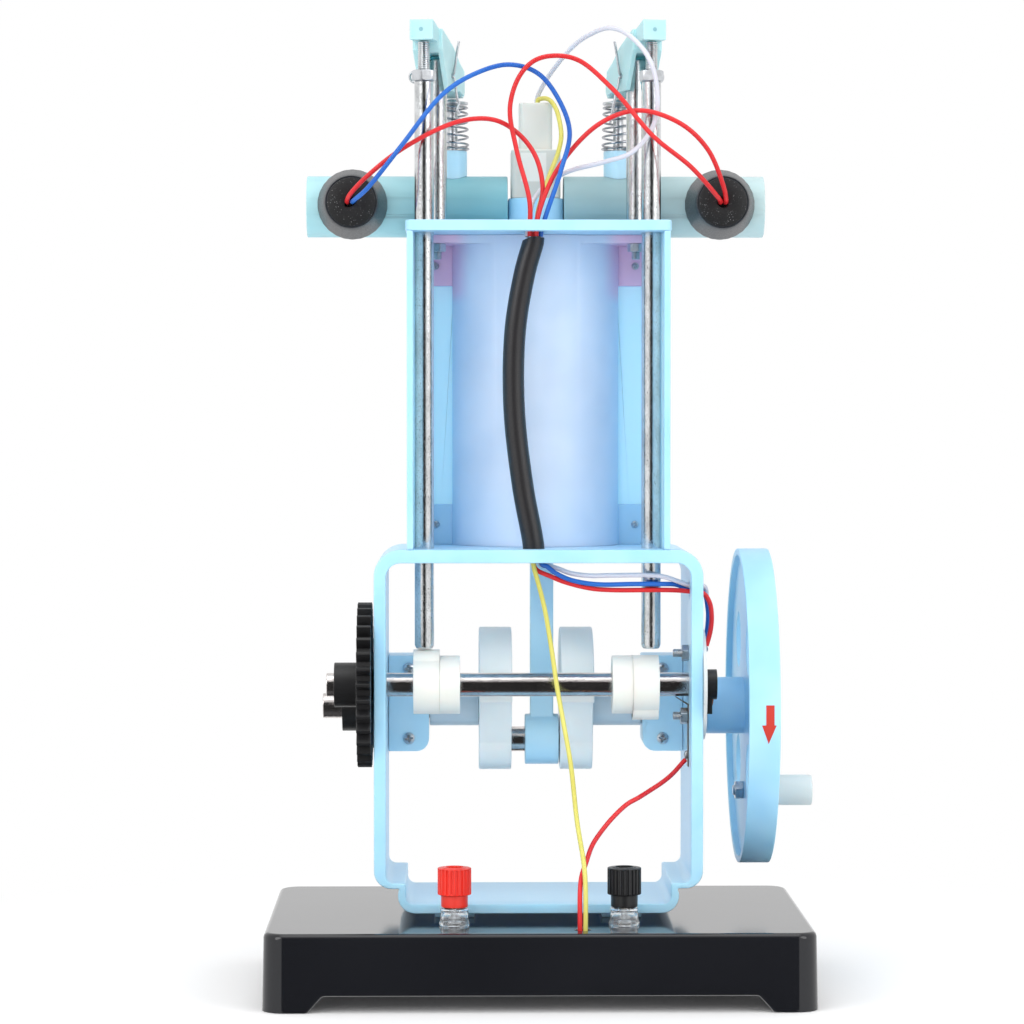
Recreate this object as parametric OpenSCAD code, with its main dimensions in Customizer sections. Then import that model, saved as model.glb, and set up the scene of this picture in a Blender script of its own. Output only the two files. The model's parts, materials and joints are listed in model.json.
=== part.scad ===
// Four-stroke engine model for classroom demonstration, seen and built from its rear.
// X runs to the handwheel, Y runs to the open front, Z is up.
// The origin is the middle of the whole model's footprint, at the table.
// The modules measure from the middle of the base, and placed() moves them to the origin.

/* [Base] */
// Length of the tray base
base_w = 250; // [240:1:280]
// Depth of the tray base
base_d = 170; // [164:1:200]
// Height of the tray base
base_h = 35.2; // [30:0.1:50]
// Thickness of the tray's walls and top
base_wall = 2.6; // [1.6:0.1:4]
// Radius of the tray's upright corners
base_corner_r = 10.7; // [6:0.1:16]
// Radius of the tray's top edge
base_edge_r = 2.4; // [1:0.1:4]
// Length of the corner feet
foot_w = 20.6; // [14:0.1:40]
// Height of the corner feet
foot_h = 7.4; // [3:0.1:12]

/* [Crankcase] */
// Width of the crankcase
case_w = 151; // [148:0.5:160]
// Depth of the crankcase
case_d = 80; // [76:1:90]
// Height of the crankcase from its pan to its top
case_h = 167; // [160:0.5:180]
// Thickness of the crankcase's sides
case_wall = 5.5; // [4:0.1:7]
// Thickness of the crankcase's top
case_top = 6.2; // [4:0.1:8]
// Radius of the upper corners
case_r = 12.4; // [8:0.1:20]
// Height of the oil pan
pan_h = 11.4; // [8:0.1:16]
// Step from the crankcase's side in to the oil pan
pan_inset = 11; // [8:0.1:16]
// Height of the two feet under the pan
case_foot_h = 3.1; // [2:0.1:6]
// Width of each foot under the pan
case_foot_w = 18.3; // [12:0.1:24]
// Distance between the two feet
case_foot_spacing = 77; // [60:1:90]

/* [Crank] */
// Height of the crankshaft's axis above the table
crank_z = 128.2; // [124:0.1:134]
// Distance of the crankshaft's axis in front of the middle
crank_y = 33; // [30:0.5:35]
// Radius that the crank pin turns on
crank_r = 16; // [12:0.5:18]
// Diameter of the crankshaft and of its pin
shaft_d = 12; // [10:0.1:13]
// Thickness of each crank web as a share of the crankcase's inner half width
web_share = 0.2214; // [0.15:0.0001:0.24]
// Gap between the two crank webs
web_gap = 23; // [20:0.1:26]
// Radius of the counterweights
weight_r = 37.6; // [32:0.1:39]
// Radius of the webs around the crank pin
web_pin_r = 14.4; // [11:0.1:16]
// Diameter of the spacer tubes on the crankshaft
spacer_d = 19; // [16:0.1:22]
// Height of the wrist pin above the crankcase while the piston is down
wrist_rise = 42.9; // [38:0.1:48]
// Distance of the connecting rod from the middle
rod_x = 3; // [1:0.1:3]
// Radius of the connecting rod's big end
big_end_r = 12; // [9:0.1:13]
// Width of the big end along the pin
big_end_w = 16; // [10:0.1:16.5]
// Width of the rod's shank
shank_w = 11; // [6:0.1:12]

/* [Bearings] */
// Width of each bearing cap as a share of the crankcase's inner half width
cap_share = 0.2714; // [0.2:0.0001:0.28]
// Height of each bearing cap
cap_h = 45.4; // [40:0.1:50]
// Thickness of each bearing cap
cap_t = 13; // [10:0.1:16]
// Thickness of the bearing seat in front of the cap
seat_t = 11; // [9:0.1:14]

/* [Handwheel] */
// Diameter of the handwheel
wheel_d = 150; // [130:1:154]
// Width of the handwheel's rim
rim_w = 14.5; // [10:0.1:18]
// Thickness of the handwheel's rim
rim_t = 3.2; // [2:0.1:5]
// Thickness of the handwheel's web
wheel_web_t = 4.5; // [3:0.1:6]
// Diameter of the handwheel's hub
wheel_hub_d = 27; // [22:0.1:32]
// Distance of the rim's inner edge from the crankcase's side
rim_gap = 21; // [19:0.1:25]
// Distance of the handle from the wheel's axis
handle_r = 40.7; // [34:0.1:56]
// Diameter of the handle
handle_d = 14.6; // [12:0.1:18]
// Length of the handle
handle_l = 28; // [20:0.1:40]

/* [Gears] */
// Module of the timing gears
gear_module = 2.25; // [2.2:0.01:2.28]
// Teeth on the crank gear
crank_teeth = 16; // [16:1:16]
// Width of the gears' teeth
gear_face = 6.6; // [5:0.1:8]
// Distance from the crankcase's side to the gears' inner face
gear_gap = 1.2; // [1:0.1:3]
// Distance of the camshaft's axis behind the crankshaft's
cam_offset_y = 52.2; // [51.5:0.1:52.6]

/* [Cams] */
// Diameter of the camshaft
camshaft_d = 11; // [9:0.1:12]
// Radius of the cams away from their lobes
cam_base_r = 13.6; // [11:0.1:13.6]
// Radius to the tip of the lobes
lobe_r = 16.4; // [14:0.1:16.4]
// Width of the cams' lobes
lobe_w = 12.2; // [9:0.1:13]
// Width of the cams' round hubs
cam_hub_w = 9.4; // [6:0.1:10]
// Gap above the lobes' highest point to the push-rods' feet
lift_gap = 0.3; // [0.2:0.05:0.6]

/* [Push-rods and rockers] */
// Distance of the push-rods in from the crankcase's sides
lifter_inset = 23; // [22.5:0.1:23.5]
// Diameter of the push-rods and posts
rod_d = 9; // [7:0.1:9]
// Diameter of the push-rods' thread
thread_d = 6; // [5:0.1:6.5]
// Length of thread above the lock nut
thread_l = 13.3; // [10:0.1:16]
// Thickness of the lock nuts
lock_nut_h = 5; // [4:0.1:6]
// Height of the rockers' near end above the head plate's underside
rocker_rise = 88.4; // [85:0.1:93]
// Width of the rockers' near blocks
rocker_w = 11; // [9:0.1:12]
// Width of the rockers where they straddle the post
clevis_w = 14.4; // [13:0.1:16]
// Height of the rockers' near blocks
rocker_h = 9.8; // [8:0.1:12]
// Drop from the rockers' underside to their pivot
pivot_drop = 14.2; // [12:0.1:15]
// Diameter of the rockers' pivot pins
pivot_d = 2.4; // [1.6:0.1:3]

/* [Valves] */
// Distance of the valve stems from the middle
valve_x = 39.5; // [38.5:0.1:40.5]
// Diameter of the valve stems
stem_d = 5; // [4:0.1:6]
// Diameter of the valve guides
guide_d = 14; // [12:0.1:16]
// Height of the valve guides above the pipes
guide_h = 12; // [9:0.1:13]
// Outer diameter of the valve springs at their foot
spring_d = 16.6; // [15:0.1:17]
// Outer diameter of the valve springs at their top
spring_top_d = 15; // [13:0.1:16]
// Diameter of the springs' wire
spring_wire = 1.1; // [0.8:0.05:1.3]
// Number of turns in each spring
spring_turns = 6; // [4:1:6]

/* [Cylinder and body] */
// Bore of the cylinder
bore_d = 74; // [70:0.5:76]
// Thickness of the cylinder's wall
cylinder_wall = 2.5; // [2:0.1:3]
// Height of the cylinder between the crankcase and the head plate
cylinder_h = 145.9; // [144:0.1:150]
// Thickness of the cylinder's top flange
flange_t = 3.8; // [3:0.1:5]
// Step from the crankcase's sides in to the body's
body_inset = 15.2; // [13:0.1:15.4]
// Thickness of the body's side walls
body_wall = 2.9; // [2:0.1:3]
// Thickness of the body's front panel
front_t = 4; // [3:0.1:5]
// Height of the piston
piston_h = 63; // [60:0.5:66]
// Thickness of the piston's skirt and crown
piston_wall = 4.2; // [3:0.1:5]
// Step from the crankcase's sides in to the head plate's
plate_inset = 14.5; // [12:0.1:14.8]
// Thickness of the head plate
plate_t = 5; // [4:0.1:6]

/* [Pipes and lamps] */
// Outer diameter of the inlet and exhaust pipes
pipe_d = 29; // [26:0.5:30]
// Thickness of the pipes' walls
pipe_wall = 2; // [1.5:0.1:3]
// Distance of the pipes' outer ends from the middle
pipe_end = 108.5; // [104:0.5:116]
// Distance of the pipes' inner ends from the middle
pipe_start = 13.3; // [12.6:0.1:14]
// Diameter of the lamp caps where they meet the pipe
lamp_cap_d = 33; // [30:0.5:36]
// Diameter of the lamp caps at their small end
lamp_cap_end_d = 24; // [20:0.5:28]
// Length of the lamp caps
lamp_cap_l = 29; // [24:0.5:29]
// Distance of the lamp caps from the middle
lamp_cap_x = 86.5; // [80:0.5:88]
// Diameter of the boss under the spark lamp
boss_d = 31.6; // [28:0.1:34]
// Height of the boss under the spark lamp
boss_h = 18.4; // [16:0.1:20]
// Width of the spark lamp holder's lower step
holder_w = 23.4; // [20:0.1:24]
// Height of the lower step
holder_h = 23; // [20:0.1:26]
// Width of the upper step
holder_top_w = 15.8; // [14:0.1:18]
// Height of the upper step
holder_top_h = 22.4; // [18:0.1:26]

/* [Contacts] */
// Diameter of the contact disc
disc_d = 51; // [46:0.5:54]
// Thickness of the contact disc
disc_t = 1.6; // [1:0.1:2]
// Distance of the disc's screws from the camshaft's axis
disc_screw_r = 14.6; // [13:0.1:16]
// Reach of the rotor arm from the camshaft's axis
rotor_reach = 13.5; // [11:0.1:14]

/* [Terminals] */
// Distance between the two terminals
terminal_spacing = 77.2; // [60:0.1:100]
// Distance of the terminals behind the crankcase
terminal_gap = 15; // [10:0.5:20]
// Diameter of the terminals' knobs
knob_d = 15.4; // [14:0.1:18]
// Height of the knobs' ribbed grip
knob_h = 12.6; // [10:0.1:16]
// Diameter of the collar under the grip
collar_d = 12.2; // [11:0.1:13]
// Height of the collar
collar_h = 5.7; // [4:0.1:8]
// Height of the clear insulator under the collar
insulator_h = 8; // [6:0.1:10]
// Diameter of the socket in each knob
socket_d = 4; // [4:0.1:4]

/* [Hidden] */
$fn = 64;

// Colours
sky = "#9fd6f8";
teal = "#a9d6de";
chrome = "#c9ccd1";
nylon = "#e9eeea";
glossy_black = "#25262b";
brass = "#c79a4b";
wire_red = "#e83638";
wire_blue = "#2a74d0";
wire_yellow = "#e4df78";
wire_white = "#e6e8ee";

// Clearances and overruns
seat = 0.3;
run_fit = 0.05;
push_fit = 0.02;
over = 1;
ring_fit = 0.08;

// Base
foot_slope = 6.8;
draft = 0.7;
skin = 0.1;
base_boss_r = 8;
base_boss_h = 6;
base_hole_r = 3.4;
base_hole_x = 19.2;
base_hole_y = -base_d / 2 + 14;

// Crankcase
case_z0 = base_h + case_foot_h;
case_z1 = case_z0 + case_h;
case_x = case_w / 2;
case_in_x = case_x - case_wall;
pan_floor = 4.3;
pan_step_r = 8;
pan_wall = 3.6;
case_y0 = -case_d / 2;
case_y1 = case_d / 2;
corner_in_r = case_r - case_wall;
case_foot_l = 60;
case_lip = 2;
hole_drop = 19.3;

// Axes
camshaft_y = crank_y - cam_offset_y;
gear_centres = gear_module * (crank_teeth + 2 * crank_teeth) / 2;
camshaft_z = crank_z + sqrt(gear_centres * gear_centres - cam_offset_y * cam_offset_y);
pin_z = crank_z - crank_r;
wrist_z = case_z1 + wrist_rise;
rod_length = wrist_z - pin_z;

// Crankshaft and its wheel
shaft_left = -case_x - 25.9;
web_x0 = web_gap / 2;
web_x1 = web_x0 + case_in_x * web_share;
cap_w = case_in_x * cap_share;
cap_x1 = case_in_x - seat;
cap_x0 = cap_x1 - cap_w;
wheel_hub_x = case_x + 6.1;
rim_x = case_x + rim_gap;
wheel_web_x = rim_x + 3;
shaft_right = wheel_web_x + wheel_web_t + 2;
hole_ring_r = 42;
wheel_hole_r = 13.5;
wheel_hole_count = 4;
web_side_x = 26;
web_side_y = 8;
weight_edge = 4;
bolt_d = 5;
bolt_rear = 5;
bolt_nut_across = 8;
bolt_nut_h = 4;
bolt_head_d = 9;
bolt_head_h = 3;
bolt_recess = 4;
shank_t = 10;
small_end_d = 16;
wrist_d = 8;
wrist_l = 24;

// Bearing screws
cap_screw_z = 16.6;
cap_rise = 2;
cap_z = crank_z + cap_rise;
cap_screw_x = cap_x0 + cap_w / 2;
screw_d = 3;
screw_head_d = 6.4;
screw_head_h = 2.2;
screw_fit = 0.1;
slot_l = 3;
slot_w = 0.7;
slot_depth = 1.6;
cap_screw_l = 20;
lug_screw_l = 7;
case_screw_l = 14;
cap_corner_r = 6;
m4_d = 4;
m4_across = 7;
m4_nut_h = 3.2;

// Gears
gear_x = case_x + gear_gap;
gear_backlash = 0.36;
tooth_top = 0.95;
tooth_root = 1.2;
pressure_angle = 20;
crank_hub_r = 12;
crank_hub_l = 8.7;
cam_hub_r = 10.3;
cam_hub_l = 10.9;
gear_spacer_r = 7.5;

// Camshaft
camshaft_left = -case_x - 22.4;
camshaft_right = case_x + 6.5;
left_lobe_turn = 90;
right_lobe_turn = -90;
cam_tip_r = 8;
lobe_hub_r = 13.5;
left_cam_shift = 1;
right_cam_shift = 2.6;
foot_z = camshaft_z + lobe_r + lift_gap;

// Rockers: the arm runs from the push-rod in over the post to the valve stem
lifter_x = case_x - lifter_inset;
rocker_z = case_z1 + cylinder_h + rocker_rise;
arm_x = lifter_x - valve_x;
arm_y = crank_y - camshaft_y;
arm_l = sqrt(arm_x * arm_x + arm_y * arm_y);
arm_turn = atan2(arm_y, arm_x);
post_y = 5;
near_share = (post_y - camshaft_y) / arm_y;
near_arm = arm_l * near_share;
far_arm = arm_l - near_arm;
post_x = lifter_x - arm_x * near_share;
pivot_z = rocker_z - pivot_drop;
near_end = rocker_w / 2;
post_top = pivot_z + 7.6;
post_stud_l = 7.6;
post_nut_h = 4;
nose_r = 3;
nose_drop = 8;
nose_z = pivot_z - nose_drop;
thread_tip_r = 8;
lock_nut_across = 10;
stem_top = nose_z - seat;
retainer_h = 1.3;
retainer_drop = 1.3;
retainer_z = stem_top - retainer_drop - retainer_h;
valve_head_t = 3;
valve_head_d = 16;
coil_sides = 8;

// The rockers' side view: points along the upper edge from the near end's top, then the cheek
rocker_top_points = [[17, -5], [34, -10.3], [46, -16.5]];
far_drop = 22;
far_foot_l = 14;
far_foot_drop = 6;
cheek_l = 7;
cheek_drop = 7;
cheek_start = 2;
slot_end = 7;
slot_top = 9.6;
slot_start = 2;
slot_reach = 30;
pin_over = 3;
pin_ring_gap = 3.2;
pin_ring_t = 1.8;
pin_ring_d = 5.5;

// Cylinder, body and plate
cylinder_r = bore_d / 2;
cylinder_out_r = cylinder_r + cylinder_wall;
plate_z = case_z1 + cylinder_h;
body_x = case_x - body_inset;
front_y = case_y1 - front_t;
lug_h = 19;
lug_x = body_x - body_wall - seat;
lug_screw_x = (cylinder_r + over + lug_x) / 2;
lug_t = 4;
lug_y = front_y - lug_t - seat;
window_gap = 0.5;
flange_edge = 6;
flange_x = post_x + 4;
plate_w = case_w - 2 * plate_inset;
plate_y1 = 18;
plate_r = 4;
wire_hole_x = -2;
wire_hole_y = -25;
wire_hole_r = 6;

// Pipes
pipe_r = pipe_d / 2;
pipe_z = plate_z + pipe_r + seat;
guide_top = pipe_z + pipe_r + guide_h;
spring_foot = guide_top + push_fit;
spring_l = retainer_z - spring_foot - push_fit;

// Lamps
cap_lap = 2;
lamp_cap_y1 = crank_y - pipe_r + cap_lap;
lamp_cap_y0 = lamp_cap_y1 - lamp_cap_l;
lamp_base_r = 4.8;
lamp_glass_r = 5.6;
lamp_hole_r = 6.4;
lamp_base_l = 14;
boss_top = plate_z + boss_h;
lamp_seat = 4;
lamp_rise = 9;
holder_r = 2.5;
cap_bore_rise = 8;
cap_glass_rise = 18;
glass_sink = 2;

// Piston
skirt_z = wrist_z - 16.2;
piston_fit = 0.4;
piston_r = cylinder_r - piston_fit;
ring_r = cylinder_r - ring_fit;
ring_depth = 2.2;
ring_h = 2.6;
ring_gap = 0.1;
ring_count = 3;
ring_pitch = 5.5;

// Contacts
disc_x = case_x + push_fit;
hole_r = 4.6;
hole_y = -22.3;
hole_z = case_z1 - hole_drop;
disc_screw_x = case_in_x - 7.3;
sink_l = 1.5;
sink_r = 3.5;
strip_room = 0.6;
strip_bend = 9;
strip_w = 6;
strip_l = 38;
strip_reach = 5.6;
strip_t = 0.5;
rotor_gap = 0.6;
rotor_hub_d = 14;
rotor_t = 3;
rotor_w = 8;

// Terminals
terminal_x = terminal_spacing / 2;
terminal_y = case_y0 - terminal_gap;
insulator_top = base_h + insulator_h;
knob_z = insulator_top + seat;
knob_top = knob_z + collar_h + knob_h;
recess_d = 7.9;
recess_h = 2.4;
insert_d = 7.6;
stud_d = 3;
stud_drop = 14;
stud_rise = 6;
stud_nut_across = 6;
stud_nut_h = 2.4;
stud_hole_l = 7;
socket_floor = 8;
insulator_foot_d = 14.2;
insulator_top_d = 12.8;
knob_chamfer = 1;
rib_count = 24;
rib_r = 0.55;

// Wire routes, chosen by eye. Those above the plate measure their height from its underside, and
// points at a wall, hole, plate or sleeve take their place from it.
wire_d = 2.2;
sleeve_d = 10;
bare = 0.1;
lead = 1.4;
sleeve_top = -2.2;
sleeve_low = case_z1 - 5.8;
face_x = disc_x + disc_t + wire_d / 2 + bare;
lamp_y = lamp_cap_y0 - bare;
holder_top = boss_h + holder_h + holder_top_h + bare;
hole_floor = base_h - 5.2;
function above_plate(p) = [for (q = p) q + [0, 0, plate_z]];
function into_sleeve(x, y) = [[x, y, sleeve_top + lead], [x, y, sleeve_top + bare]];
function out_of_sleeve(x, y) = [[x, y, sleeve_low - bare], [x, y, sleeve_low - lead]];
sleeve_route = [[-2, -25, plate_z + sleeve_top], [-2, -25, plate_z + sleeve_top - lead],
    [-6, -25, plate_z - 18.2], [-10.5, -25, plate_z - 45.2], [-11, -25, plate_z - 81.2],
    [-7, -25, case_z1 + 28.7], [-2, -25, case_z1 + 0.7], [-2, -25, sleeve_low]];
left_blue_route = above_plate(concat([[-86, lamp_y, 14.8], [-86, lamp_y - lead, 14.8],
    [-85, -17, 15], [-78, -28, 20.4], [-63, -32, 38.8], [-44, -32.5, 62.4], [-30, -32, 71.6],
    [-14, -31, 76.3], [-1, -29.5, 73], [8, -28.5, 63], [14.4, -29, 46], [10.4, -28.5, 28],
    [3.6, -25.8, 7.6]], into_sleeve(1.1, -25.4)));
left_red_route = above_plate(concat([[-88.4, lamp_y, 14.8], [-88.4, lamp_y - lead, 14.8],
    [-87, -17, 17.4], [-78.4, -25, 25.8], [-61.5, -28, 38.6], [-36, -28.5, 50.6], [-20, -28, 51.2],
    [-9, -26.5, 45], [-1, -24.5, 34.5], [2.2, -23.6, 20], [0.2, -24.4, 9]], into_sleeve(-2, -25)));
right_high_route = above_plate(concat([[85.4, lamp_y, 14.8], [85.4, lamp_y - lead, 14.8],
    [83, -18, 17], [70, -30, 29.8], [52.5, -33, 43.6], [33.5, -34, 65.4], [16.5, -34, 78.8],
    [0.5, -33.5, 79], [-8, -32.5, 72], [-13, -31.5, 57], [-10, -30, 37.5], [-4, -28.8, 14]],
    into_sleeve(-3.9, -27.7)));
right_low_route = above_plate(concat([[87.8, lamp_y, 14.8], [87.8, lamp_y - lead, 14.8],
    [86.5, -17, 20], [78, -27, 38], [65, -31, 49.6], [46, -31, 55.4], [28, -27, 49.5],
    [9.5, -24.5, 29.8], [0.4, -27.8, 8.8]], into_sleeve(-0.9, -28)));
yellow_lamp_route = above_plate(concat([[1, 31.4, holder_top], [1, 31.4, holder_top + lead],
    [4, 27.4, 66], [6.8, 23, 64.6], [9.4, 19, 60.4], [11, 14, 54], [11.6, 7, 46.4], [10, 0, 38.6],
    [6.6, -9, 29.6], [2.6, -16, 18.6], [-0.2, -21.2, 7.6]], into_sleeve(0.4, -22.6)));
white_lamp_route = above_plate(concat([[0.4, 34.6, holder_top], [0.4, 34.6, holder_top + lead],
    [4, 28, 73], [9.6, 18, 80.6], [17.2, 4, 88.4], [24.6, -8, 92.6], [33, -17, 94.6], [41, -25, 91],
    [50, -31.4, 80.5], [54.2, -29.6, 68], [53.4, -27.4, 50], [43.5, -27, 36.8], [30, -24, 32.2],
    [14, -15.6, 28.4], [4, -7, 22.6], [-2, -14.6, 15], [-3.6, -19.6, 8]], into_sleeve(-5.1, -24.6)));
disc_blue_route = concat(out_of_sleeve(1.2, -25.6), [[3.6, -26, hole_z + 11.4],
    [7.4, -26.6, hole_z + 8.5], [13.6, -27.2, hole_z + 5.4], [21, -27.4, hole_z + 3.6],
    [29, -27.4, hole_z + 2.8], [44, -27.4, hole_z + 3], [case_x - 19, -27, hole_z + 3],
    [case_x - 11, -23.2, hole_z + 2.4], [case_x - 5, -21, hole_z - 0.4],
    [case_x + 1.3, -20, hole_z - 1.4], [case_x + 3.5, -15.6, hole_z - 8],
    [case_x + 4.1, -11.4, hole_z - 16.4], [face_x, camshaft_y + 10.2, camshaft_z + 20]]);
disc_red_route = concat(out_of_sleeve(-2, -25), [[-1.2, -25, hole_z + 10], [0.8, -25.2, hole_z + 8.6],
    [5.6, -25.4, hole_z + 6.6], [12, -25.6, hole_z + 4], [24, -25.8, hole_z + 1],
    [33.5, -25.8, hole_z + 0.2], [case_x - 19, -25.8, hole_z + 0.2], [case_x - 11, -25.6, hole_z],
    [case_x - 5, -24.6, hole_z - 0.6], [case_x + 0.9, -23.4, hole_z - 1.4],
    [case_x + 4.1, -22, hole_z - 6], [case_x + 5.1, -20.8, hole_z - 13],
    [case_x + 4.5, -19.8, hole_z - 19.6], [face_x, camshaft_y, camshaft_z + 18]]);
disc_white_route = concat(out_of_sleeve(0.4, -22.6), [[3, -23, hole_z + 11.8],
    [8.8, -24, hole_z + 10.2], [14.8, -25, hole_z + 8], [24, -26, hole_z + 6.8],
    [35, -26.4, hole_z + 7], [case_x - 19, -26.4, hole_z + 6.6], [case_x - 11, -25.4, hole_z + 4.2],
    [case_x - 5, -22.6, hole_z + 2], [case_x + 1.2, -20.6, hole_z + 1.9],
    [case_x + 3.3, -15, hole_z - 3.4], [case_x + 4.3, -9, hole_z - 12],
    [case_x + 3.9, -4.6, hole_z - 20.4], [face_x, camshaft_y + 16.2, camshaft_z + 18]]);
base_yellow_route = concat(out_of_sleeve(-2.4, -28), [[-1.2, -28.2, case_z1 - 11.3],
    [3, -28.6, 177.6], [6.2, -29.4, 158.7], [8.6, -32, 142], [11.4, -36, 126], [14.6, -44, 107],
    [17, -56, 83], [base_hole_x + 0.6, base_hole_y + 2, 64], [base_hole_x + 1.2, base_hole_y, 54],
    [base_hole_x + 1.2, base_hole_y, hole_floor]]);
base_red_route = [[case_in_x - 1.4, camshaft_y, camshaft_z - 35], [case_in_x - 3.4, -20, 105],
    [62.6, -23, 101], [57.8, -26, 97.4], [51.4, -30, 93.7], [45.6, -36, 90.9], [40.8, -39, 88.6],
    [33.8, -45, 83], [28.2, -50, 77], [24, -56, 71.6], [20.8, -64, 64.4], [18.8, -67, 59],
    [base_hole_x - 1.2, base_hole_y + 0.8, 53], [base_hole_x - 1.2, base_hole_y, hole_floor]];

// General shapes

// Moves the middle of the base's underside to where it lies beside the model's middle
module placed() {
    right = wheel_web_x + wheel_web_t + seat + handle_l;
    front = crank_y + wheel_d / 2;
    translate([(base_w / 2 - right) / 2, (base_d / 2 - front) / 2, 0]) children();
}

module box(x0, x1, y0, y1, z0, z1) {
    translate([x0, y0, z0]) cube([x1 - x0, y1 - y0, z1 - z0]);
}

module x_rod(x0, x1, d, y, z) {
    translate([x0, y, z]) rotate([0, 90, 0]) cylinder(h = x1 - x0, d = d);
}

module y_rod(y0, y1, d, x, z) {
    translate([x, y1, z]) rotate([90, 0, 0]) cylinder(h = y1 - y0, d = d);
}

module z_rod(z0, z1, d, x, y) {
    translate([x, y, z0]) cylinder(h = z1 - z0, d = d);
}

// A flat shape drawn in Y and Z, thickened along X from x0 to x1
module along_x(x0, x1) {
    translate([x0, 0, 0]) rotate([90, 0, 90]) linear_extrude(x1 - x0) children();
}

// A flat shape drawn in X and Z, thickened along Y from y0 to y1
module along_y(y0, y1) {
    translate([0, y1, 0]) rotate([90, 0, 0]) linear_extrude(y1 - y0) children();
}

module rounded_rect(w, d, r) {
    square([w - 2 * r, d], center = true);
    square([w, d - 2 * r], center = true);
    for (sx = [-1, 1], sy = [-1, 1]) {
        translate([sx * (w / 2 - r), sy * (d / 2 - r)]) circle(r);
    }
}

module hex_nut(across, h, bore) {
    difference() {
        cylinder(h = h, d = across / cos(30), $fn = 6);
        translate([0, 0, -over]) cylinder(h = h + 2 * over, d = bore);
    }
}

module both_sides() {
    children();
    mirror([1, 0, 0]) children();
}

// Tubes swept along a route, with rings turned as little as possible

function unit(v) = v / norm(v);
function tangents(p) = [for (i = [0 : len(p) - 1])
    unit(p[min(i + 1, len(p) - 1)] - p[max(i - 1, 0)])];
function across(t) = unit(abs(t[0]) < 0.8 ? cross(t, [1, 0, 0]) : cross(t, [0, 1, 0]));
function carried(n, t) = unit(n - t * (n * t));
function normals(t) = [for (i = 0, n = across(t[0]); i < len(t);
    i = i + 1, n = i < len(t) ? carried(n, t[i]) : n) n];
function ring(c, n, b, r, sides) = [for (k = [0 : sides - 1])
    c + r * (cos(k * 360 / sides) * n + sin(k * 360 / sides) * b)];

module tube(p, d, sides) {
    t = tangents(p);
    n = normals(t);
    rings = [for (i = [0 : len(p) - 1]) each ring(p[i], n[i], cross(t[i], n[i]), d / 2, sides)];
    last = (len(p) - 1) * sides;
    walls = [for (i = [0 : len(p) - 2], k = [0 : sides - 1])
        each [[i * sides + k, (i + 1) * sides + k, (i + 1) * sides + (k + 1) % sides],
            [i * sides + k, (i + 1) * sides + (k + 1) % sides, i * sides + (k + 1) % sides]]];
    ends = [for (k = [1 : sides - 2]) each [[0, k, k + 1], [last, last + k + 1, last + k]]];
    polyhedron(points = rings, faces = concat(walls, ends));
}

module wire(route) {
    tube(route, wire_d, 8);
}

// Base

module base() {
    color(glossy_black) difference() {
        base_shell();
        base_hollow();
        foot_gaps();
        for (s = [-1, 1]) {
            z_rod(-over, base_h + over, stud_d + 2 * screw_fit, s * terminal_x, terminal_y);
            z_rod(-over, base_h + over, screw_d + 2 * screw_fit, s * case_foot_spacing / 2, 0);
        }
        z_rod(0, base_h + over, 2 * base_hole_r, base_hole_x, base_hole_y);
    }
}

module base_shell() {
    hull() {
        linear_extrude(skin) rounded_rect(base_w, base_d, base_corner_r, $fn = 32);
        for (a = [0 : 30 : 90]) {
            inset = draft + base_edge_r * (1 - cos(a));
            translate([0, 0, base_h - skin - base_edge_r * (1 - sin(a))])
                linear_extrude(skin)
                    rounded_rect(base_w - 2 * inset, base_d - 2 * inset, base_corner_r - inset, $fn = 32);
        }
    }
}

module base_hollow() {
    in = 2 * (base_wall + draft);
    difference() {
        translate([0, 0, -over])
            linear_extrude(base_h - base_wall + over)
                rounded_rect(base_w - in, base_d - in, base_corner_r - base_wall);
        for (s = [-1, 1]) {
            z_rod(base_h - base_wall - base_boss_h, base_h, 2 * base_boss_r, s * case_foot_spacing / 2, 0);
        }
    }
}

module foot_gap(l) {
    polygon([[-l / 2 + foot_w, -over], [-l / 2 + foot_w, 0], [-l / 2 + foot_w + foot_slope, foot_h],
        [l / 2 - foot_w - foot_slope, foot_h], [l / 2 - foot_w, 0], [l / 2 - foot_w, -over]]);
}

module foot_gaps() {
    along_y(-base_d, base_d) foot_gap(base_w);
    along_x(-base_w, base_w) foot_gap(base_d);
}

// Crankcase

module case_outline() {
    translate([-case_x, case_z0 + pan_h + pan_step_r])
        square([case_w, case_h - pan_h - pan_step_r - case_r]);
    translate([-case_x + pan_step_r, case_z0 + pan_h])
        square([case_w - 2 * pan_step_r, case_h - pan_h - case_r]);
    translate([-case_x + case_r, case_z1 - 2 * case_r]) square([case_w - 2 * case_r, 2 * case_r]);
    for (s = [-1, 1]) {
        translate([s * (case_x - case_r), case_z1 - case_r]) circle(case_r);
        translate([s * (case_x - pan_step_r), case_z0 + pan_h + pan_step_r]) circle(pan_step_r);
        translate([s * (case_x - pan_inset - pan_step_r), case_z0 + pan_step_r]) circle(pan_step_r);
    }
    translate([-case_x + pan_inset + pan_step_r, case_z0])
        square([case_w - 2 * (pan_inset + pan_step_r), pan_h]);
}

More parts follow.
